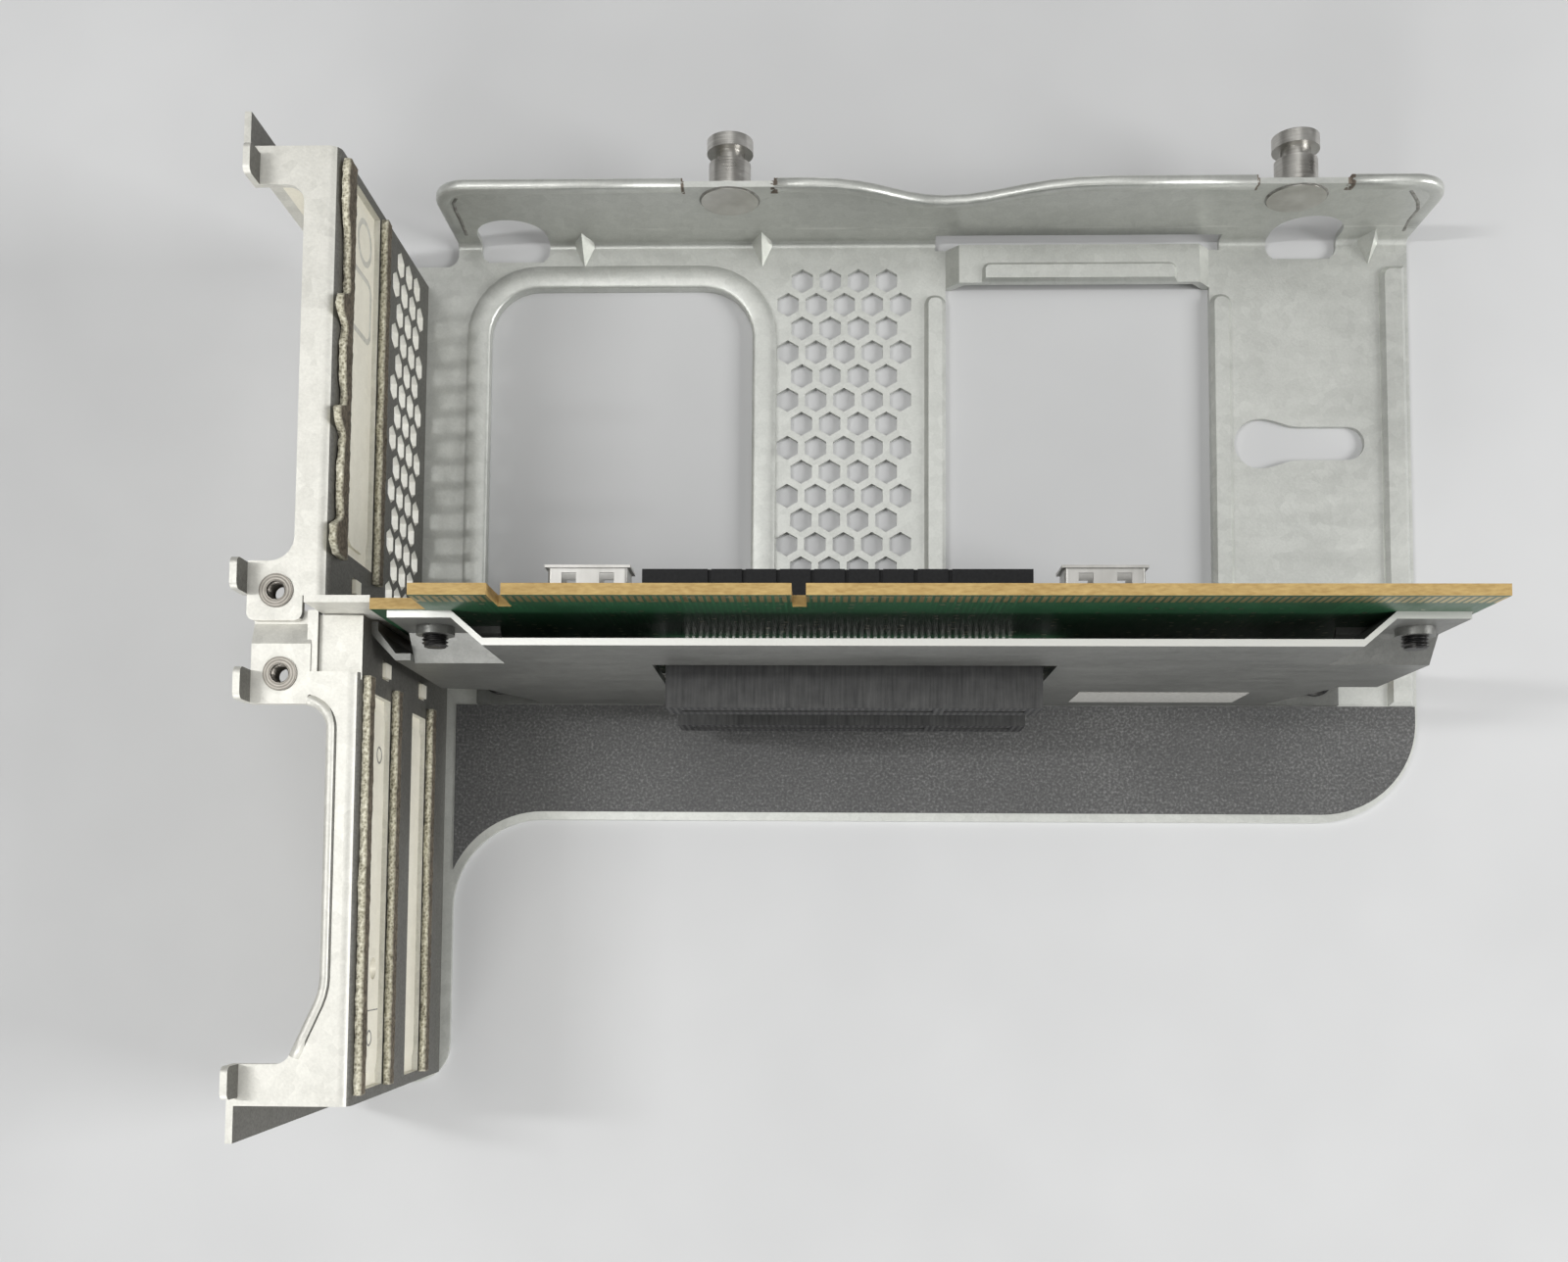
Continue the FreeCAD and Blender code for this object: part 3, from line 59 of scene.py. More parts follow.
# Base plate: pressed steel sheet, zinc plated before it is cut, so the flat is satin and pale.
# The north flange is folded up with a rolled lip, and the beads and window rim are pressed in.
# Handling has left fine rubs along the rolling direction and brown bite marks where the lip was nicked.
MM = 0.001
UP = Vector((0.0, 0.0, 1.0))
SOUTH = Vector((0.0, -1.0, 0.0))
FLANGE_TOP = 22.0
FLANGE_FACE = 77.5
LIP_FOOT = 19.6
SCRAPE_HEIGHT = 6.6
PIN_GAPS = ((-39.0, -23.8), (54.6, 69.8))


class Wire:
    """A socket of one finish. Sums, products and comparisons of wires add Math nodes."""

    def __init__(self, tree, socket=None):
        self.tree = tree
        self.socket = socket

    def node(self, kind, settings, inputs, output=0):
        made = self.tree.nodes.new(kind)
        for name, value in settings.items():
            if name == "stops":
                while len(made.color_ramp.elements) < len(value):
                    made.color_ramp.elements.new(1.0)
                for element, (place, colour) in zip(made.color_ramp.elements, value):
                    element.position = place
                    element.color = (*colour, 1.0)
            else:
                setattr(made, name, value)
        for name, value in inputs.items():
            if isinstance(value, Wire):
                self.tree.links.new(value.socket, made.inputs[name])
            else:
                made.inputs[name].default_value = value
        return Wire(self.tree, made.outputs[output])

    def maths(self, operation, first, second=0.0):
        return self.node("ShaderNodeMath", {"operation": operation}, {0: first, 1: second})

    def __add__(self, other):
        return self.maths("ADD", self, other)

    def __radd__(self, other):
        return self.maths("ADD", other, self)

    def __sub__(self, other):
        return self.maths("SUBTRACT", self, other)

    def __rsub__(self, other):
        return self.maths("SUBTRACT", other, self)

    def __mul__(self, other):
        return self.maths("MULTIPLY", self, other)

    def __rmul__(self, other):
        return self.maths("MULTIPLY", other, self)

    def __gt__(self, other):
        return self.maths("GREATER_THAN", self, other)

    def __lt__(self, other):
        return self.maths("LESS_THAN", self, other)

    def __abs__(self):
        return self.maths("ABSOLUTE", self)

    def sine(self):
        return self.maths("SINE", self)

    def at_least(self, least):
        return self.maths("MAXIMUM", self, least)

    def at_most(self, most):
        return self.maths("MINIMUM", self, most)

    def bars(self, pitch, half):
        """1 on bars that repeat at a pitch in metres, each within half of a pitch from its middle."""
        part = self.maths("FRACT", self * (1.0 / pitch))
        return abs(part - 0.5) < half

    def near(self, middle, half, soft):
        """1 within half of middle, falling to 0 over soft."""
        away = abs(self - middle)
        return self.node("ShaderNodeMapRange", {}, {"Value": away, "From Min": half, "From Max": half + soft,
                                                    "To Min": 1.0, "To Max": 0.0})

    def noise(self, scale, detail=2.0, stretch=(1.0, 1.0, 1.0)):
        place = self.node("ShaderNodeMapping", {}, {"Vector": self, "Scale": stretch})
        return self.node("ShaderNodeTexNoise", {}, {"Vector": place, "Scale": scale, "Detail": detail})

    def axes(self):
        return [self.node("ShaderNodeSeparateXYZ", {}, {"Vector": self}, axis) for axis in range(3)]

    def facing(self):
        """The three parts of the way a face looks."""
        return self.node("ShaderNodeNewGeometry", {}, {}, "Normal").axes()

    def ramp(self, *stops):
        return self.node("ShaderNodeValToRGB", {"stops": stops}, {"Fac": self})

    def blend(self, amount, first, second):
        pair = [value if isinstance(value, Wire) else (*value, 1.0) for value in (first, second)]
        return self.node("ShaderNodeMix", {"data_type": "RGBA"}, {0: amount, 6: pair[0], 7: pair[1]}, 2)


def finish(name, metallic, roughness):
    """A new finish with its shader, and the wire of the piece's own coordinates in metres."""
    material = bpy.data.materials.new(name)
    material.use_nodes = True
    shader = material.node_tree.nodes["Principled BSDF"]
    shader.inputs["Metallic"].default_value = metallic
    shader.inputs["Roughness"].default_value = roughness
    place = Wire(material.node_tree).node("ShaderNodeTexCoord", {}, {}, "Object")
    return material, shader, place


def feed(shader, place, **wires):
    """Links wires to the shader's sockets of those names. Bump takes a height and its depth in metres."""
    for name, wire in wires.items():
        if name == "bump":
            height, depth = wire
            wire = place.node("ShaderNodeBump", {}, {"Height": height, "Distance": depth})
            name = "Normal"
        place.tree.links.new(wire.socket, shader.inputs[name.replace("_", " ")])


def dress(material, *nodes):
    """Puts a finish on solids of the frame."""
    for name in nodes:
        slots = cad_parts[name].data.materials
        slots.clear()
        slots.append(material)


def plated(name, dark, pale, roughness, along, shaded=None, metallic=0.62, sheared=None):
    """Plated sheet: cloudy zinc with spangle, fine grain, and rubs drawn out along the rolling direction.
    A shaded colour darkens the faces that look east, into the bay, as painted shade.
    Level faces above the sheared height are painted pale, as painted light on the cut edge of the sheet."""
    material, shader, place = finish(name, metallic, roughness)
    x, y, z = place.axes()
    cloud = place.noise(34.0, 3.0)
    grain = place.noise(2600.0, 2.0)
    rub = place.noise(420.0, 3.0, along)
    spangle = place.node("ShaderNodeTexVoronoi", {}, {"Vector": place, "Scale": 620.0}, "Color").axes()[0]
    colour = (cloud * 0.42 + grain * 0.26 + rub * 0.20 + spangle * 0.12).ramp((0.34, dark), (0.66, pale))
    if shaded:
        # Painted shade: faces that look east take the shaded colour.
        east_shade_mask = place.facing()[0] > 0.7
        colour = place.blend(east_shade_mask * (0.75 + grain * 0.25), colour, shaded)
    if sheared:
        # Painted light: level faces at the sheared top edge take a pale colour.
        lit_top_edge = (place.facing()[2] > 0.9) * (z > sheared)
        colour = place.blend(lit_top_edge, colour, (0.66, 0.66, 0.63))
    streaks = place.noise(300.0, 2.0, (0.35, 1.0, 8.0)) > 0.58
    on_flange = y > (FLANGE_FACE - 1.0) * MM
    scrapes = streaks * z.near(SCRAPE_HEIGHT * MM, 0.3 * MM, 0.4 * MM) * on_flange
    colour = place.blend(scrapes * 0.5, colour, (0.80, 0.80, 0.77))
    on_lip = (z > LIP_FOOT * MM) * (y > (FLANGE_FACE - 0.5) * MM)
    inset, narrow, wide, soft = 0.1, 0.15 * MM, 0.5 * MM, 0.2 * MM
    nicks = [x.near((west + inset) * MM, narrow, soft) + x.near((east - inset) * MM, wide, soft)
             for west, east in PIN_GAPS]
    rust = on_lip * sum(nicks, 0.0) * (place.noise(1400.0, 2.0) > 0.42)
    colour = place.blend(rust * 0.8, colour, (0.14, 0.09, 0.055))
    gloss = roughness + (rub - 0.5) * 0.22 + (cloud - 0.5) * 0.18 + rust * 0.3
    feed(shader, place, Base_Color=colour, Roughness=gloss, bump=(grain * 0.7 + rub * 0.3, 0.03 * MM))
    return material


plate_zinc = plated("plate_zinc", dark=(0.53, 0.54, 0.51), pale=(0.67, 0.68, 0.645), roughness=0.42,
                    along=(0.12, 1.0, 1.0))
dress(plate_zinc, "base_plate")

# The dark seam finish is dirt at the rivets and painted shade in the lip's creases; the press marks on the
# south cover are drawn in it too.
seam_dirt_and_shade, shader, place = finish("seam_dirt_and_shade", metallic=0.3, roughness=0.7)
dirt_and_shade = place.noise(900.0, 3.0).ramp((0.3, (0.20, 0.195, 0.175)), (0.7, (0.40, 0.395, 0.37)))
feed(shader, place, Base_Color=dirt_and_shade)


def piece(name, shape, material):
    """Makes a finished mesh a piece of the part, in the finish it takes."""
    mesh = bpy.data.meshes.new(name)
    shape.to_mesh(mesh)
    shape.free()
    mesh.materials.append(material)
    made = bpy.data.objects.new(name, mesh)
    bpy.context.scene.collection.objects.link(made)
    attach(made, "root")
    return made


def shade_smooth(made, crisp_ends=False):
    """Shades a piece smooth. Crisp ends leave a strip's end faces flat, which have more than four sides."""
    faces = made.data.polygons
    faces.foreach_set("use_smooth", [len(face.vertices) == 4 or not crisp_ends for face in faces])


def sweep(shape, path, lift, profile):
    """Adds a strip along a path on a face. Lift is the way out of the face.
    The profile is (across, out) in mm, and a path that ends where it starts is joined into a ring."""
    ring = (path[0] - path[-1]).length < 0.001 * MM
    if ring:
        path = path[:-1]
    rows = []
    for step, spot in enumerate(path):
        if ring:
            ahead = path[(step + 1) % len(path)] - path[step - 1]
        else:
            ahead = path[min(step + 1, len(path) - 1)] - path[max(step - 1, 0)]
        side = lift.cross(ahead).normalized()
        rows.append([shape.verts.new(spot + side * across * MM + lift * out * MM) for across, out in profile])
    next_rows = rows[1:] + rows[:1] if ring else rows[1:]
    for row, following in zip(rows, next_rows):
        for left in range(len(profile) - 1):
            shape.faces.new((row[left], row[left + 1], following[left + 1], following[left]))
    if not ring:
        shape.faces.new(rows[0])
        shape.faces.new(rows[-1])


def arc(middle, radius, start, end, steps):
    """Points in mm along a round stretch between two angles in degrees."""
    angles = [math.radians(start + (end - start) * step / steps) for step in range(steps + 1)]
    return [(middle[0] + radius * math.cos(angle), middle[1] + radius * math.sin(angle)) for angle in angles]


def bend(start, first_handle, second_handle, end, count):
    """Points in mm along a smooth bend between two ends, each with its handle."""
    spots = [Vector(spot) for spot in (start, first_handle, second_handle, end)]
    return [tuple(spot) for spot in geometry.interpolate_bezier(*spots, count)]


def rounded_loop(left, right, low, high, radius):
    """Points in mm around a rounded rectangle, anticlockwise and back to the first."""
    corners = ((right - radius, high - radius), (left + radius, high - radius),
               (left + radius, low + radius), (right - radius, low + radius))
    loop = []
    for quarter, corner in enumerate(corners):
        loop += arc(corner, radius, 90.0 * quarter, 90.0 * (quarter + 1), 8)
    return loop + loop[:1]


# The lip is rolled round everywhere but at the two pins, where it was cut open.
# It turns down at both ends, and dips in one smooth curve for a finger.
lip_west, lip_east = -80.6, 86.2
lip_middle = 78.25
lip_round = 6.0
round_height = FLANGE_TOP - lip_round
side_heights = (6.0, 10.0, 14.0)
dip_height = FLANGE_TOP - 6.5
dip = bend((-18.0, FLANGE_TOP), (-6.5, FLANGE_TOP), (-3.3, dip_height), (4.5, dip_height), 8)
dip += bend((4.5, dip_height), (13.6, dip_height), (17.4, FLANGE_TOP), (31.0, FLANGE_TOP), 8)[1:]
(west_cut, middle_start), (middle_cut, east_start) = PIN_GAPS
west_run = [(lip_west, height) for height in side_heights]
west_run += arc((lip_west + lip_round, round_height), lip_round, 180.0, 90.0, 8)
west_run += [(-60.0, FLANGE_TOP), (west_cut, FLANGE_TOP)]
middle_run = [(middle_start, FLANGE_TOP), *dip, (middle_cut, FLANGE_TOP)]
east_run = [(east_start, FLANGE_TOP)]
east_run += arc((lip_east - lip_round, round_height), lip_round, 90.0, 0.0, 8)
east_run += [(lip_east, height) for height in reversed(side_heights)]
roll_section = [(2.1, -0.74), (1.5, -0.90)]
roll_section += arc((0.5, -0.25), 0.7, 270.0, 180.0, 3) + arc((0.5, 0.25), 0.7, 180.0, 90.0, 3)
roll_section += [(1.5, 0.95)]
hem = bmesh.new()
for run in (west_run, middle_run, east_run):
    sweep(hem, [Vector((x, lip_middle, z)) * MM for x, z in run], -SOUTH, roll_section)
bmesh.ops.recalc_face_normals(hem, faces=hem.faces)
shade_smooth(piece("lip_hem", hem, plate_zinc), crisp_ends=True)

# The rim of the west window is rolled, so it swells between its edges.
window_rim = rounded_loop(left=-76.6, right=-26.1, low=4.5, high=71.1, radius=10.7)
rim_top = 1.9
swell_section = bend((-2.0, -0.02), (-1.3, 0.45), (0.9, 0.40), (2.0, 0.03), 8)
swell_section += [(2.08, -0.2), (2.08, -1.85)]
swell = bmesh.new()
sweep(swell, [Vector((x, y, rim_top)) * MM for x, y in window_rim], UP, swell_section)
bmesh.ops.recalc_face_normals(swell, faces=swell.faces)
shade_smooth(piece("window_swell", swell, plate_zinc))

# A crease is left in the flange where the lip turns down at each end. It is drawn as a low ridge in the dark
# seam finish, as painted shade in the crease.
west_crease = ((-76.9, 18.6), (-77.8, 16.9), (-78.1, 14.0), (-78.1, 10.6), (-78.3, 7.6), (-78.4, 4.8))
east_crease = ((80.1, 19.3), (81.4, 17.4), (82.8, 15.2), (83.8, 12.6), (83.8, 8.8), (84.4, 4.6))
crease_section = ((-0.30, 0.0), (0.0, 0.08), (0.30, 0.0))
creases = bmesh.new()
for crease in (west_crease, east_crease):
    sweep(creases, [Vector((x, FLANGE_FACE, z)) * MM for x, z in crease], SOUTH, crease_section)
bmesh.ops.recalc_face_normals(creases, faces=creases.faces)
piece("lip_creases", creases, seam_dirt_and_shade)


# Rear panels: two walls of the same plated sheet, bent over at the top into flanges with screw tabs.
# Their zinc is paler than the plate's, as painted light for the highlights the flanges catch, and more
# rubbed.
# The shaded colour paints shade on the faces of the walls that look east, into the bay.
panel_zinc = plated("panel_zinc", dark=(0.60, 0.592, 0.545), pale=(0.79, 0.78, 0.725), roughness=0.53,
                    along=(1.0, 0.12, 1.0), shaded=(0.062, 0.060, 0.053), metallic=0.52)
dress(panel_zinc, "rear_panel_north", "rear_panel_south")

# The west edge of the south flange is rolled over into a smooth rim from the screw tab to the gusset.
rim_line = -85.5
rim_height = 51.0
tab_round = 3.6
gusset_round = 8.6
rim_path = arc((rim_line - tab_round, -15.5), tab_round, 80.0, 0.0, 8)
rim_path += [(rim_line, y) for y in (-20.0, -30.0, -40.0)]
rim_path += arc((rim_line - gusset_round, -50.4), gusset_round, 0.0, -24.0, 3)
rim_path += [(-88.4, -58.7), (-89.5, -61.2)]
rim_section = [(-0.02, -0.8)] + bend((-0.10, -0.2), (-0.05, 0.85), (1.25, 0.95), (1.44, 0.0), 6)
rolled_rim = bmesh.new()
sweep(rolled_rim, [Vector((x, y, rim_height)) * MM for x, y in rim_path], UP, rim_section)
shade_smooth(piece("south_rolled_rim", rolled_rim, panel_zinc))


# Tab inserts: threaded steel bushes pressed into the screw tabs of the two rear panels.
# They are turned on a lathe, which leaves rings of tool marks, and are duller and browner than the zinc.
EAST = Vector((1.0, 0.0, 0.0))
THREAD_PITCH = 0.5 * MM


def turned(name, dark, pale, roughness, centre, pitch):
    """Turned steel: rings of tool marks around the piece's own axis."""
    material, shader, place = finish(name, metallic=0.92, roughness=roughness)
    middle = place.node("ShaderNodeVectorMath", {"operation": "SUBTRACT"}, {0: place, 1: centre})
    far = place.node("ShaderNodeVectorMath", {"operation": "LENGTH"}, {0: middle}, 1)
    rings = (far * (2.0 * math.pi / pitch)).sine() * 0.5 + 0.5
    stain = place.noise(500.0, 3.0)
    colour = (rings * 0.35 + stain * 0.65).ramp((0.3, dark), (0.75, pale))
    feed(shader, place, Base_Color=colour, Roughness=roughness + (stain - 0.5) * 0.25,
         bump=(rings * 0.6 + stain * 0.4, 0.02 * MM))
    return material


def thread(shape, start, along, side, radius, crest, turns):
    """Adds a helical ridge: a small triangle spun up the axis."""
    half_width = along * THREAD_PITCH * 0.46
    root = start + side * radius
    corners = [root - half_width, start + side * crest, root + half_width]
    ridge = shape.faces.new([shape.verts.new(corner) for corner in corners])
    steps = 20
    bmesh.ops.spin(shape, geom=[ridge, *ridge.edges, *ridge.verts], cent=start, axis=along,
                   dvec=along * THREAD_PITCH / steps, angle=2.0 * math.pi * turns, steps=int(steps * turns),
                   use_merge=False, use_duplicate=False)


for side in ("north", "south"):
    low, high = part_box("tab_insert_" + side)
    centre = (low + high) / 2
    insert_steel = turned("insert_steel_" + side, dark=(0.13, 0.12, 0.105), pale=(0.34, 0.32, 0.285),
                          roughness=0.42, centre=centre, pitch=0.28 * MM)
    dress(insert_steel, "tab_insert_" + side)
    bore = bmesh.new()
    foot = Vector((centre.x, centre.y, low.z + 0.4 * MM))
    thread(bore, foot, UP, EAST, radius=1.37 * MM, crest=1.12 * MM, turns=6.2)
    bmesh.ops.recalc_face_normals(bore, faces=bore.faces)
    piece("insert_thread_" + side, bore, insert_steel)


# Slot covers: thin blanking plates hooked over the three card openings, of brighter plated sheet.
# The press that cut the two south ones has left small rings and a short line on them.
cover_zinc = plated("cover_zinc", dark=(0.80, 0.765, 0.65), pale=(0.93, 0.895, 0.775), roughness=0.45,
                    along=(1.0, 0.10, 1.0), metallic=0.10)
dress(cover_zinc, "slot_cover_upper", "slot_cover_lower", "slot_cover_north")


def ring_of(shape, profile, centre, axis, steps):
    """Spins a line of points once around an axis."""
    spots = [shape.verts.new(spot) for spot in profile]
    run = [shape.edges.new(pair) for pair in zip(spots, spots[1:])]
    bmesh.ops.spin(shape, geom=spots + run, cent=centre, axis=axis, angle=2.0 * math.pi, steps=steps,
                   use_merge=True)


south_cover_face = -81.5
marks = bmesh.new()
for ring_y, ring_z, radius in ((-17.9, 38.9, 1.15), (-59.6, 40.6, 1.05)):
    centre = Vector((south_cover_face, ring_y, ring_z)) * MM
    mark_section = ((-0.16, 0.0), (0.0, 0.10), (0.16, 0.0))
    ring_of(marks, [centre + UP * (radius + across) * MM + EAST * out * MM for across, out in mark_section],
            centre, EAST, 32)
line = [Vector((south_cover_face, -55.6, z)) * MM for z in (36.6, 38.6, 40.4, 42.2)]
sweep(marks, line, EAST, ((-0.10, 0.0), (0.0, 0.06), (0.10, 0.0)))
bmesh.ops.recalc_face_normals(marks, faces=marks.faces)
piece("cover_press_marks", marks, seam_dirt_and_shade)

# The north cover has a round pressing and a long pad, both shallow, drawn in a finish darker than the cover,
# as painted shade along their edges.
pressed_edge, shader, place = finish("pressed_edge", metallic=0.10, roughness=0.5)
pressing_shade = place.noise(900.0, 3.0).ramp((0.3, (0.50, 0.49, 0.435)), (0.7, (0.64, 0.625, 0.56)))
feed(shader, place, Base_Color=pressing_shade)
north_cover_face = -86.4
round_pressing = rounded_loop(left=58.5, right=64.9, low=33.4, high=39.8, radius=3.2)
pad = rounded_loop(left=46.9, right=56.2, low=32.9, high=42.2, radius=1.8)
ridge_section = ((-0.45, 0.0), (-0.15, 0.10), (0.15, 0.10), (0.45, 0.0))
pressings = bmesh.new()
for outline in (round_pressing, pad):
    sweep(pressings, [Vector((north_cover_face, y, z)) * MM for y, z in outline], EAST, ridge_section)
bmesh.ops.recalc_face_normals(pressings, faces=pressings.faces)
piece("cover_pressings", pressings, pressed_edge)


# Gaskets: foam strips wrapped in knitted conductive cloth, beige, glued along the card openings.
# The knit shows on top, and the side that looks into the bay is painted dark brown, as painted shade.
# The upper one of the north strips has come loose in waves.
knit, shader, place = finish("gasket_knit", metallic=0.10, roughness=0.88)
loops = place.node("ShaderNodeTexVoronoi", {"feature": "F1"}, {"Vector": place, "Scale": 2300.0}, "Distance")
fuzz = place.noise(1700.0, 4.0)
soil = place.noise(160.0, 3.0)
cloth = (loops * 0.40 + fuzz * 0.45 + soil * 0.30).ramp(
    (0.36, (0.22, 0.20, 0.14)), (0.56, (0.55, 0.52, 0.40)), (0.78, (0.84, 0.81, 0.67)))
painted_side_shade = (fuzz * 0.7 + soil * 0.3).ramp((0.36, (0.050, 0.040, 0.028)), (0.66, (0.175, 0.145, 0.105)))
# Painted shade: the sides that look east take the dark brown.
east_shade_mask = (place.facing()[0] * 1.6 - 0.45).at_least(0.0)
feed(shader, place, Base_Color=place.blend(east_shade_mask, cloth, painted_side_shade),
     bump=(loops * 0.6 + fuzz * 0.6, 0.30 * MM))


# The draws behind the frayed cloth start from one seed, so that it frays alike at every run.
fray_seed = 3
noise.seed_set(fray_seed)


def runs_along(edge, axis):
    """Whether an edge is long enough to cut and runs along an axis."""
    reach = edge.verts[0].co - edge.verts[1].co
    return abs(reach[axis]) > 0.2 * MM and abs(reach.normalized()[axis]) > 0.9


def gasket(node, waves, ragged):
    """Strip in the room of its solid, subdivided, roughened and lifted into waves.
    A wave is its middle along Y, half length and lift in mm."""
    low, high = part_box(node)
    strip = bmesh.new()
    bmesh.ops.create_cube(strip, size=1.0)
    bmesh.ops.scale(strip, verts=strip.verts, vec=high - low)
    bmesh.ops.translate(strip, verts=strip.verts, vec=(low + high) / 2)
    for axis, cuts in ((1, 110), (2, 4), (0, 1)):
        runs = [edge for edge in strip.edges if runs_along(edge, axis)]
        bmesh.ops.subdivide_edges(strip, edges=runs, cuts=cuts, use_grid_fill=True)
    for vert in strip.verts:
        spot = vert.co.copy()
        rise = (spot.z - low.z) / (high.z - low.z)
        lift = sum(height * MM * math.exp(-((spot.y / MM - middle) / half) ** 4)
                   for middle, half, height in waves)
        fray = noise.noise_vector(spot * 900.0) * ragged
        sag = noise.noise(spot * 130.0) * ragged
        vert.co.x += fray.x * 0.5 + ragged * 0.5 + lift * 0.10 * rise
        vert.co.y += fray.y * 0.3
        vert.co.z += (fray.z + lift + sag) * rise
    made = piece(node + "_cloth", strip, knit)
    shade_smooth(made)
    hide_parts(node)


for node in ("gasket_upper", "gasket_middle", "gasket_lower", "gasket_north_low"):
    gasket(node, waves=(), ragged=0.22 * MM)
steep_waves = ((46.2, 1.9, 4.2), (30.0, 1.6, 4.0), (12.2, 2.5, 4.4))
low_waves = ((64.0, 6.0, 2.0), (21.0, 5.0, 1.2), (38.5, 4.0, 1.2))
gasket("gasket_north_top", waves=steep_waves + low_waves, ragged=0.30 * MM)


# Board bracket: plated sheet stood on edge, jogged to the board at both ends and cut out for the sockets.
# Its zinc is painted darker than the plate, as painted shade and dark reflection on its faces, with a pale
# line painted along its sheared top edge as painted light, and two screws hold its feet.
bracket_zinc = plated("bracket_zinc", dark=(0.145, 0.147, 0.138), pale=(0.215, 0.217, 0.205), roughness=0.42,
                      along=(0.12, 1.0, 1.0), sheared=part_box("board_bracket")[1].z - 0.4 * MM)
dress(bracket_zinc, "board_bracket")


# Riser board: glass-fibre laminate with green solder mask on its faces, a sawn tan edge,
# rows of plated vias and a comb of gold contacts along the connector edge.
track_pitch = 0.8 * MM
contact_pitch = 1.0 * MM
contacts_low, contacts_high = 64.0 * MM, 67.7 * MM
laminate, shader, place = finish("board_laminate", metallic=0.0, roughness=0.42)
x, y, z = place.axes()
face = abs(place.facing()[1]) > 0.6
weave = place.noise(1400.0, 2.0, (1.0, 1.0, 0.2))
mask_tone = weave * 0.4 + place.noise(60.0, 2.0) * 0.6
mask = mask_tone.ramp((0.3, (0.010, 0.040, 0.018)), (0.7, (0.020, 0.075, 0.034)))
zones = place.node("ShaderNodeTexVoronoi", {"feature": "F1", "distance": "CHEBYCHEV"},
                   {"Vector": place, "Scale": 95.0}, "Color").axes()[0]
upright, level = [lane.bars(track_pitch, 0.16) for lane in (x, z)]
tracks = upright * (zones > 0.55) + level * (zones < 0.35)
mask = place.blend(tracks * 0.55, mask, (0.030, 0.120, 0.055))
vias = place.node("ShaderNodeTexVoronoi", {"feature": "F1"},
                  {"Vector": place, "Scale": 420.0, "Randomness": 0.35}, "Distance")
ring = (vias < 0.17) * (place.noise(70.0, 1.0) > 0.47)
mask = place.blend(ring, mask, (0.42, 0.40, 0.30))
fingers = x.bars(contact_pitch, 0.30) * (z > contacts_low) * (z < contacts_high)
mask = place.blend(fingers * 0.8, mask, (0.62, 0.47, 0.22))
layers = place.noise(900.0, 2.0, (1.0, 3.0, 1.0))
edge_tone = layers * 0.7 + place.noise(140.0, 2.0) * 0.3
edge = edge_tone.ramp((0.3, (0.36, 0.23, 0.072)), (0.7, (0.53, 0.37, 0.14)))
feed(shader, place, Base_Color=place.blend(face, edge, mask), Metallic=(face * (fingers + ring)).at_most(1.0),
     Roughness=0.62 - face * 0.28 + (weave - 0.5) * 0.15,
     bump=(weave * 0.5 + layers * 0.3 + ring * face * 0.5, 0.04 * MM))
dress(laminate, "riser_board")


# Card sockets: black moulded housings soldered to the board, with a slot for a card's edge.
# Dust lies on the tops of the two south ones, and rows of dull contacts show in their south sides.
# Tinned leads run in rows from the housings to the board.
moulded, shader, place = finish("socket_plastic", metallic=0.0, roughness=0.55)
shader.inputs["Specular IOR Level"].default_value = 0.28
x, y, z = place.axes()
facing = place.facing()
glass = place.noise(1800.0, 3.0)
dust = place.noise(2600.0, 4.0, (1.0, 0.06, 0.3)) * 0.6 + place.noise(420.0, 3.0) * 0.4
black = (glass * 0.6 + dust * 0.4).ramp((0.3, (0.006, 0.006, 0.007)), (0.72, (0.016, 0.016, 0.017)))
dusty = dust.ramp((0.30, (0.040, 0.040, 0.040)), (0.62, (0.085, 0.085, 0.083)), (0.80, (0.13, 0.13, 0.127)))
on_south = y < 0.0
dusty_top = (facing[2] > 0.7) * on_south * (y * -45.0 + 0.35)
contacts = (facing[1] < -0.7) * on_south * x.bars(contact_pitch, 0.24)
colour = place.blend(contacts * 0.6, place.blend(dusty_top, black, dusty), (0.07, 0.07, 0.07))
feed(shader, place, Base_Color=colour, Roughness=0.55 + (dust - 0.5) * 0.2,
     bump=(glass * 0.2 + contacts * 0.5, 0.06 * MM))
dress(moulded, "upper_socket_housing", "lower_socket_housing", "north_socket_housing")

tin, shader, place = finish("lead_tin", metallic=0.55, roughness=0.40)
dull = place.noise(1300.0, 3.0)
feed(shader, place, Base_Color=dull.ramp((0.3, (0.62, 0.61, 0.58)), (0.7, (0.86, 0.85, 0.82))),
     Roughness=0.25 + dull * 0.2)
dress(tin, "upper_socket_leads", "lower_socket_leads", "north_socket_leads")


def block(shape, low, high):
    """Adds a plain block between two corners."""
    low, high = Vector(low), Vector(high)
    made = bmesh.ops.create_cube(shape, size=1.0)["verts"]
    bmesh.ops.scale(shape, verts=made, vec=high - low)
    bmesh.ops.translate(shape, verts=made, vec=(low + high) / 2)


# On the upper socket every second lead is a solid of its own. These stand between them,
# with the feet of all of them, which are soldered to the board.
lead_width = 0.42 * MM
lead_thick = 0.22 * MM
foot_thick = 0.20 * MM
foot_lap, foot_rise = 0.10 * MM, 0.95 * MM
low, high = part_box("upper_socket_leads")
row = bmesh.new()
for step in range(int((high.x - low.x) / contact_pitch)):
    left = low.x + step * contact_pitch
    right = left + lead_width
    if step % 2:
        block(row, (left, low.y, high.z - lead_thick), (right, high.y, high.z))
    block(row, (left, high.y - foot_thick, high.z - foot_lap), (right, high.y, high.z + foot_rise))
piece("lead_feet", row, tin)


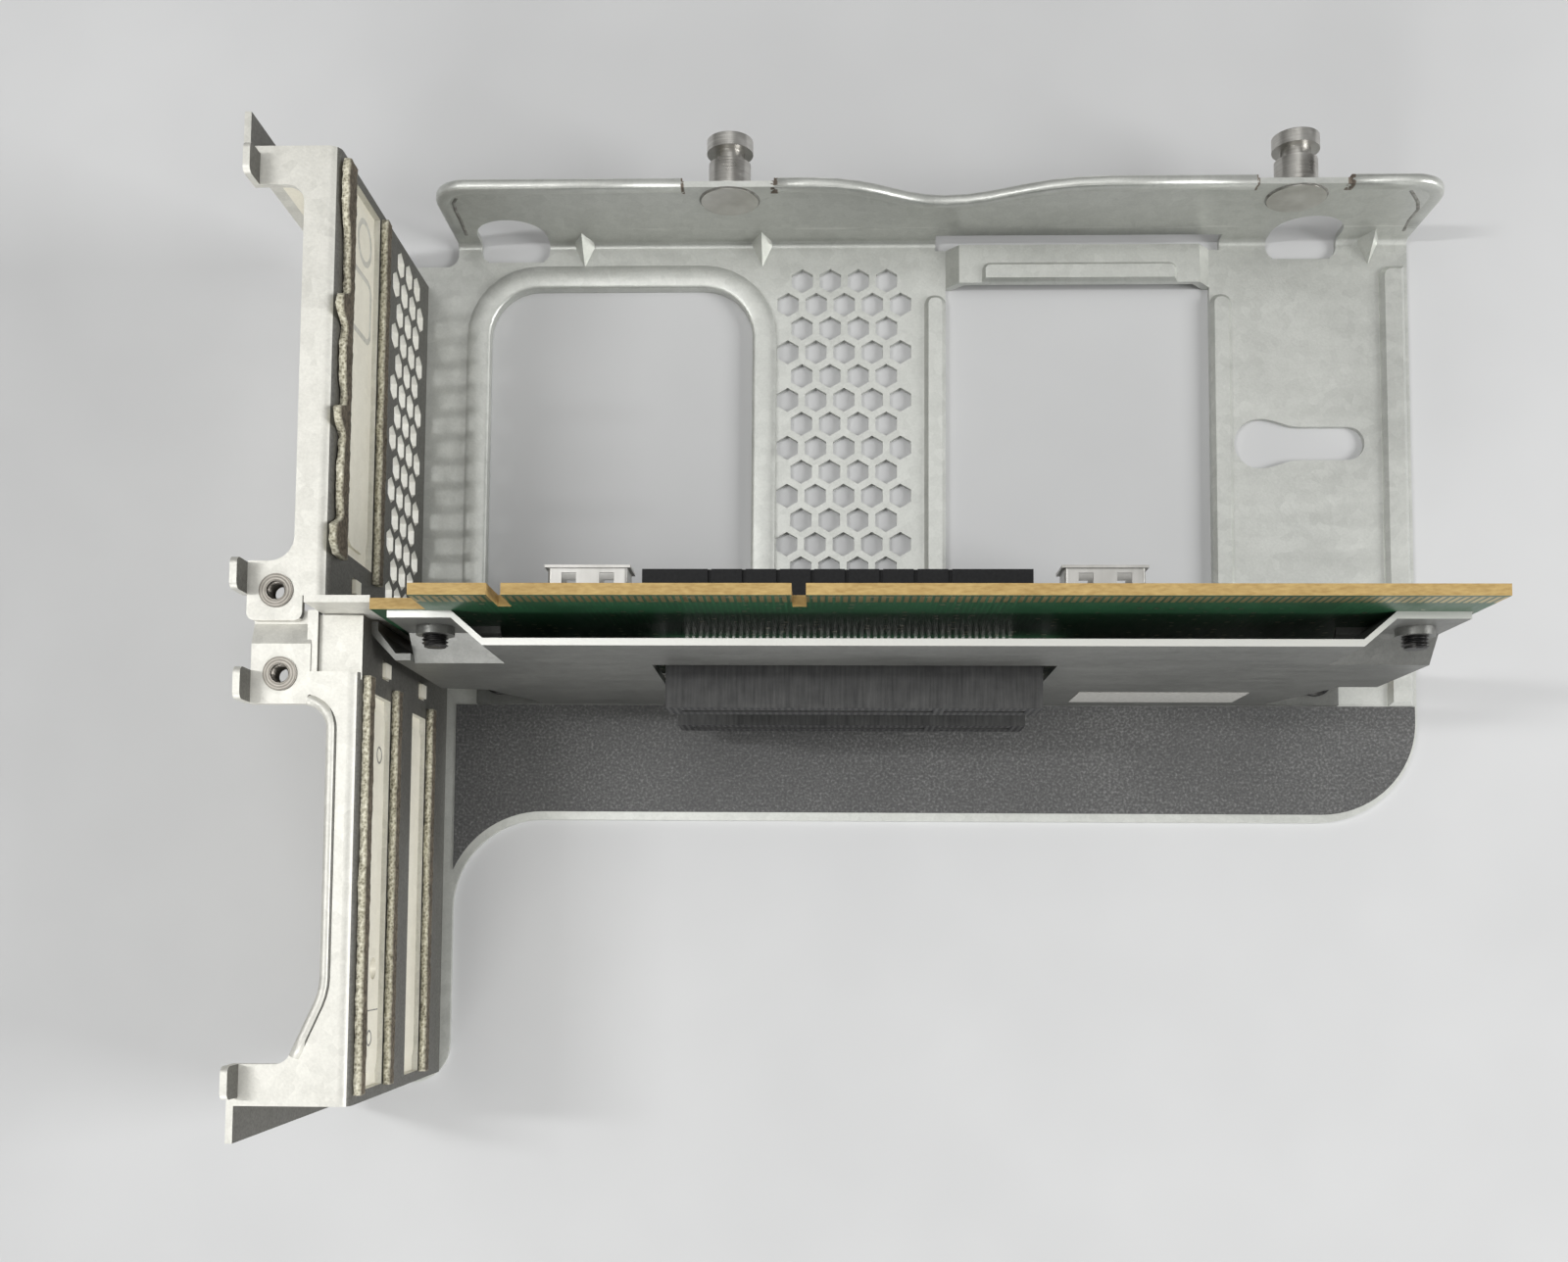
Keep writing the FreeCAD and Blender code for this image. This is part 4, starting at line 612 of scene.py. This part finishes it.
# USB sockets: shells folded from nickel-plated sheet, soldered to the north face of the board.
# Each has a dark moulded tongue inside, which carries the contacts.
nickel, shader, place = finish("shell_nickel", metallic=0.95, roughness=0.30)
rub = place.noise(700.0, 3.0, (1.0, 0.1, 1.0))
haze = place.noise(220.0, 2.0)
feed(shader, place,
     Base_Color=(rub * 0.5 + haze * 0.5).ramp((0.3, (0.42, 0.41, 0.385)), (0.7, (0.60, 0.59, 0.565))),
     Roughness=0.28 + rub * 0.2, bump=(rub, 0.02 * MM))
dress(nickel, "usb_shell_west", "usb_shell_east")

tongue, shader, place = finish("tongue_plastic", metallic=0.0, roughness=0.5)
flow = place.noise(500.0, 2.0)
feed(shader, place, Base_Color=flow.ramp((0.3, (0.014, 0.014, 0.015)), (0.7, (0.026, 0.026, 0.027))),
     bump=(flow, 0.02 * MM))
dress(tongue, "usb_tongue_west", "usb_tongue_east")


# Guide pins: turned steel studs riveted through the north flange, with a neck behind a bevelled head.
# A thin seam of dirt has gathered around each rivet where it meets the sheet.
seam_section = ((4.76, 0.0), (4.76, -0.14), (5.02, -0.05), (5.06, 0.0))
for side in ("west", "east"):
    low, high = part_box("guide_pin_" + side)
    pin_steel, shader, place = finish("pin_steel_" + side, metallic=1.0, roughness=0.28)
    tool_marks = place.noise(900.0, 2.0, (0.15, 6.0, 0.15))
    stain = place.noise(260.0, 3.0)
    colour = (tool_marks * 0.4 + stain * 0.6).ramp((0.3, (0.40, 0.385, 0.355)), (0.72, (0.70, 0.69, 0.66)))
    feed(shader, place, Base_Color=colour, Roughness=0.18 + stain * 0.3, bump=(tool_marks, 0.03 * MM))
    dress(pin_steel, "guide_pin_" + side)
    seam = bmesh.new()
    centre = Vector(((low.x + high.x) / 2, low.y + 0.30 * MM, (low.z + high.z) / 2))
    ring_of(seam, [centre + Vector((reach, depth, 0.0)) * MM for reach, depth in seam_section],
            centre, SOUTH, 48)
    bmesh.ops.recalc_face_normals(seam, faces=seam.faces)
    piece("rivet_seam_" + side, seam, seam_dirt_and_shade)


# Screws: small steel machine screws in black oxide, scuffed where a driver has turned them.
# Two go through the board into the bracket, with their threaded tips showing, and two through its feet.
oxide, shader, place = finish("black_oxide", metallic=0.6, roughness=0.38)
scuff = place.noise(1200.0, 3.0)
feed(shader, place, Base_Color=scuff.ramp((0.35, (0.012, 0.012, 0.013)), (0.75, (0.060, 0.058, 0.055))),
     Roughness=0.3 + scuff * 0.25)
dress(oxide, "board_screws", "bracket_screws")
head_radius = 2.7 * MM
low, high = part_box("board_screws")
tips = bmesh.new()
for screw_x in (low.x + head_radius, high.x - head_radius):
    tip = Vector((screw_x, low.y + 1.75 * MM, (low.z + high.z) / 2))
    thread(tips, tip, SOUTH, EAST, radius=1.45 * MM, crest=1.86 * MM, turns=3.3)
bmesh.ops.recalc_face_normals(tips, faces=tips.faces)
piece("screw_threads", tips, oxide)


# Insulating film: charcoal plastic sheet with a fine sparkle in it.
# It is die cut to the outline of the plate's south strip and stuck to it.
film, shader, place = finish("film_plastic", metallic=0.0, roughness=0.5)
fleck = place.noise(2300.0, 4.0)
tone = place.noise(40.0, 2.0)
charcoal = (fleck * 0.8 + tone * 0.2).ramp(
    (0.38, (0.062, 0.062, 0.062)), (0.54, (0.095, 0.095, 0.094)), (0.70, (0.185, 0.185, 0.182)))
feed(shader, place, Base_Color=charcoal, Roughness=0.42 + fleck * 0.2, bump=(fleck, 0.03 * MM))
dress(film, "insulator_film")


# Label: a bare paper label, stuck to the south face of the board bracket.
# The paper is uncoated and a little grey, with its fibres showing.
paper, shader, place = finish("label_paper", metallic=0.0, roughness=0.6)
fibre = place.noise(1600.0, 4.0)
feed(shader, place, Base_Color=fibre.ramp((0.3, (0.34, 0.335, 0.315)), (0.7, (0.43, 0.425, 0.40))),
     bump=(fibre, 0.02 * MM))
dress(paper, "board_label")


# Floor: a wide pale sheet under the plate, with a faint mottle.
# It is part of the stage and not of the object.
floor_half = 1.6
floor_mesh = bpy.data.meshes.new("floor")
shape = bmesh.new()
bmesh.ops.create_grid(shape, x_segments=1, y_segments=1, size=floor_half)
bmesh.ops.translate(shape, verts=shape.verts, vec=(0.0, 0.0, cad_box[0][2]))
shape.to_mesh(floor_mesh)
shape.free()
floor = bpy.data.objects.new("floor", floor_mesh)
bpy.context.scene.collection.objects.link(floor)
pale, shader, place = finish("floor_pale", metallic=0.0, roughness=0.8)
mottle = place.noise(30.0, 2.0).ramp((0.3, (0.57, 0.573, 0.577)), (0.7, (0.60, 0.603, 0.607)))
feed(shader, place, Base_Color=mottle)
floor_mesh.materials.append(pale)


# Light: broad panels above, to the east and to the south, and a soft sky that is brighter overhead.
# A narrow panel high in the west shines through the north panel's vents and draws bands on the plate.
def lamp(name, place, aim, size, power):
    """A flat lamp, its place, aim and two sides in metres and its power in watts."""
    light = bpy.data.lights.new(name, "AREA")
    light.shape = "RECTANGLE"
    light.size, light.size_y = size
    light.energy = power
    lamp_object = bpy.data.objects.new(name, light)
    lamp_object.location = place
    lamp_object.rotation_euler = (Vector(aim) - Vector(place)).to_track_quat("-Z", "Y").to_euler()
    bpy.context.scene.collection.objects.link(lamp_object)


lamp("ceiling_panel", place=(-0.10, 0.15, 0.95), aim=(0.0, 0.0, 0.0), size=(0.8, 0.6), power=1.7)
lamp("west_panel", place=(-0.45, 0.035, 0.72), aim=(-0.08, 0.035, 0.0), size=(0.03, 0.24), power=1.6)
lamp("east_panel", place=(0.85, -0.10, 0.50), aim=(-0.08, 0.0, 0.03), size=(0.4, 0.4), power=6.4)
lamp("south_panel", place=(-0.20, -0.95, 0.42), aim=(0.0, 0.06, 0.02), size=(0.8, 0.4), power=5.6)

world = bpy.data.worlds.new("studio")
world.use_nodes = True
sky = Wire(world.node_tree)
background = world.node_tree.nodes["Background"]
across, along, up = sky.node("ShaderNodeTexCoord", {}, {}, "Generated").axes()
shade = (up * 0.62 - across * 0.18 - along * 0.26 + 0.20).ramp(
    (0.0, (0.10, 0.10, 0.10)), (0.45, (0.48, 0.48, 0.47)), (0.9, (0.90, 0.90, 0.88)))
world.node_tree.links.new(shade.socket, background.inputs["Color"])
background.inputs["Strength"].default_value = 0.52
bpy.context.scene.world = world
bpy.context.scene.view_settings.view_transform = "Standard"


# Camera: almost straight above the plate, where the picture was taken from, with its lens shifted.
# Its three turns are in degrees, and were fitted to the vents and the straight edges of the plate.
camera_place = Vector((-0.015007, -0.041957, 0.264391))
turns = (("Z", -0.36932), ("X", -3.98761), ("Y", -1.51250))
camera_data = bpy.data.cameras.new("camera")
camera_data.sensor_fit = "HORIZONTAL"
camera_data.sensor_width = 36.0
camera_data.lens = 35.1783
camera_data.shift_x = -0.00066
camera_data.shift_y = 0.11603
camera_data.clip_start = 0.01
camera = bpy.data.objects.new("camera", camera_data)
turned_to = Matrix.Identity(3)
for axis, angle in turns:
    turned_to = turned_to @ Matrix.Rotation(math.radians(angle), 3, axis)
camera.matrix_world = Matrix.Translation(camera_place) @ turned_to.transposed().to_4x4()
bpy.context.scene.collection.objects.link(camera)
bpy.context.scene.camera = camera
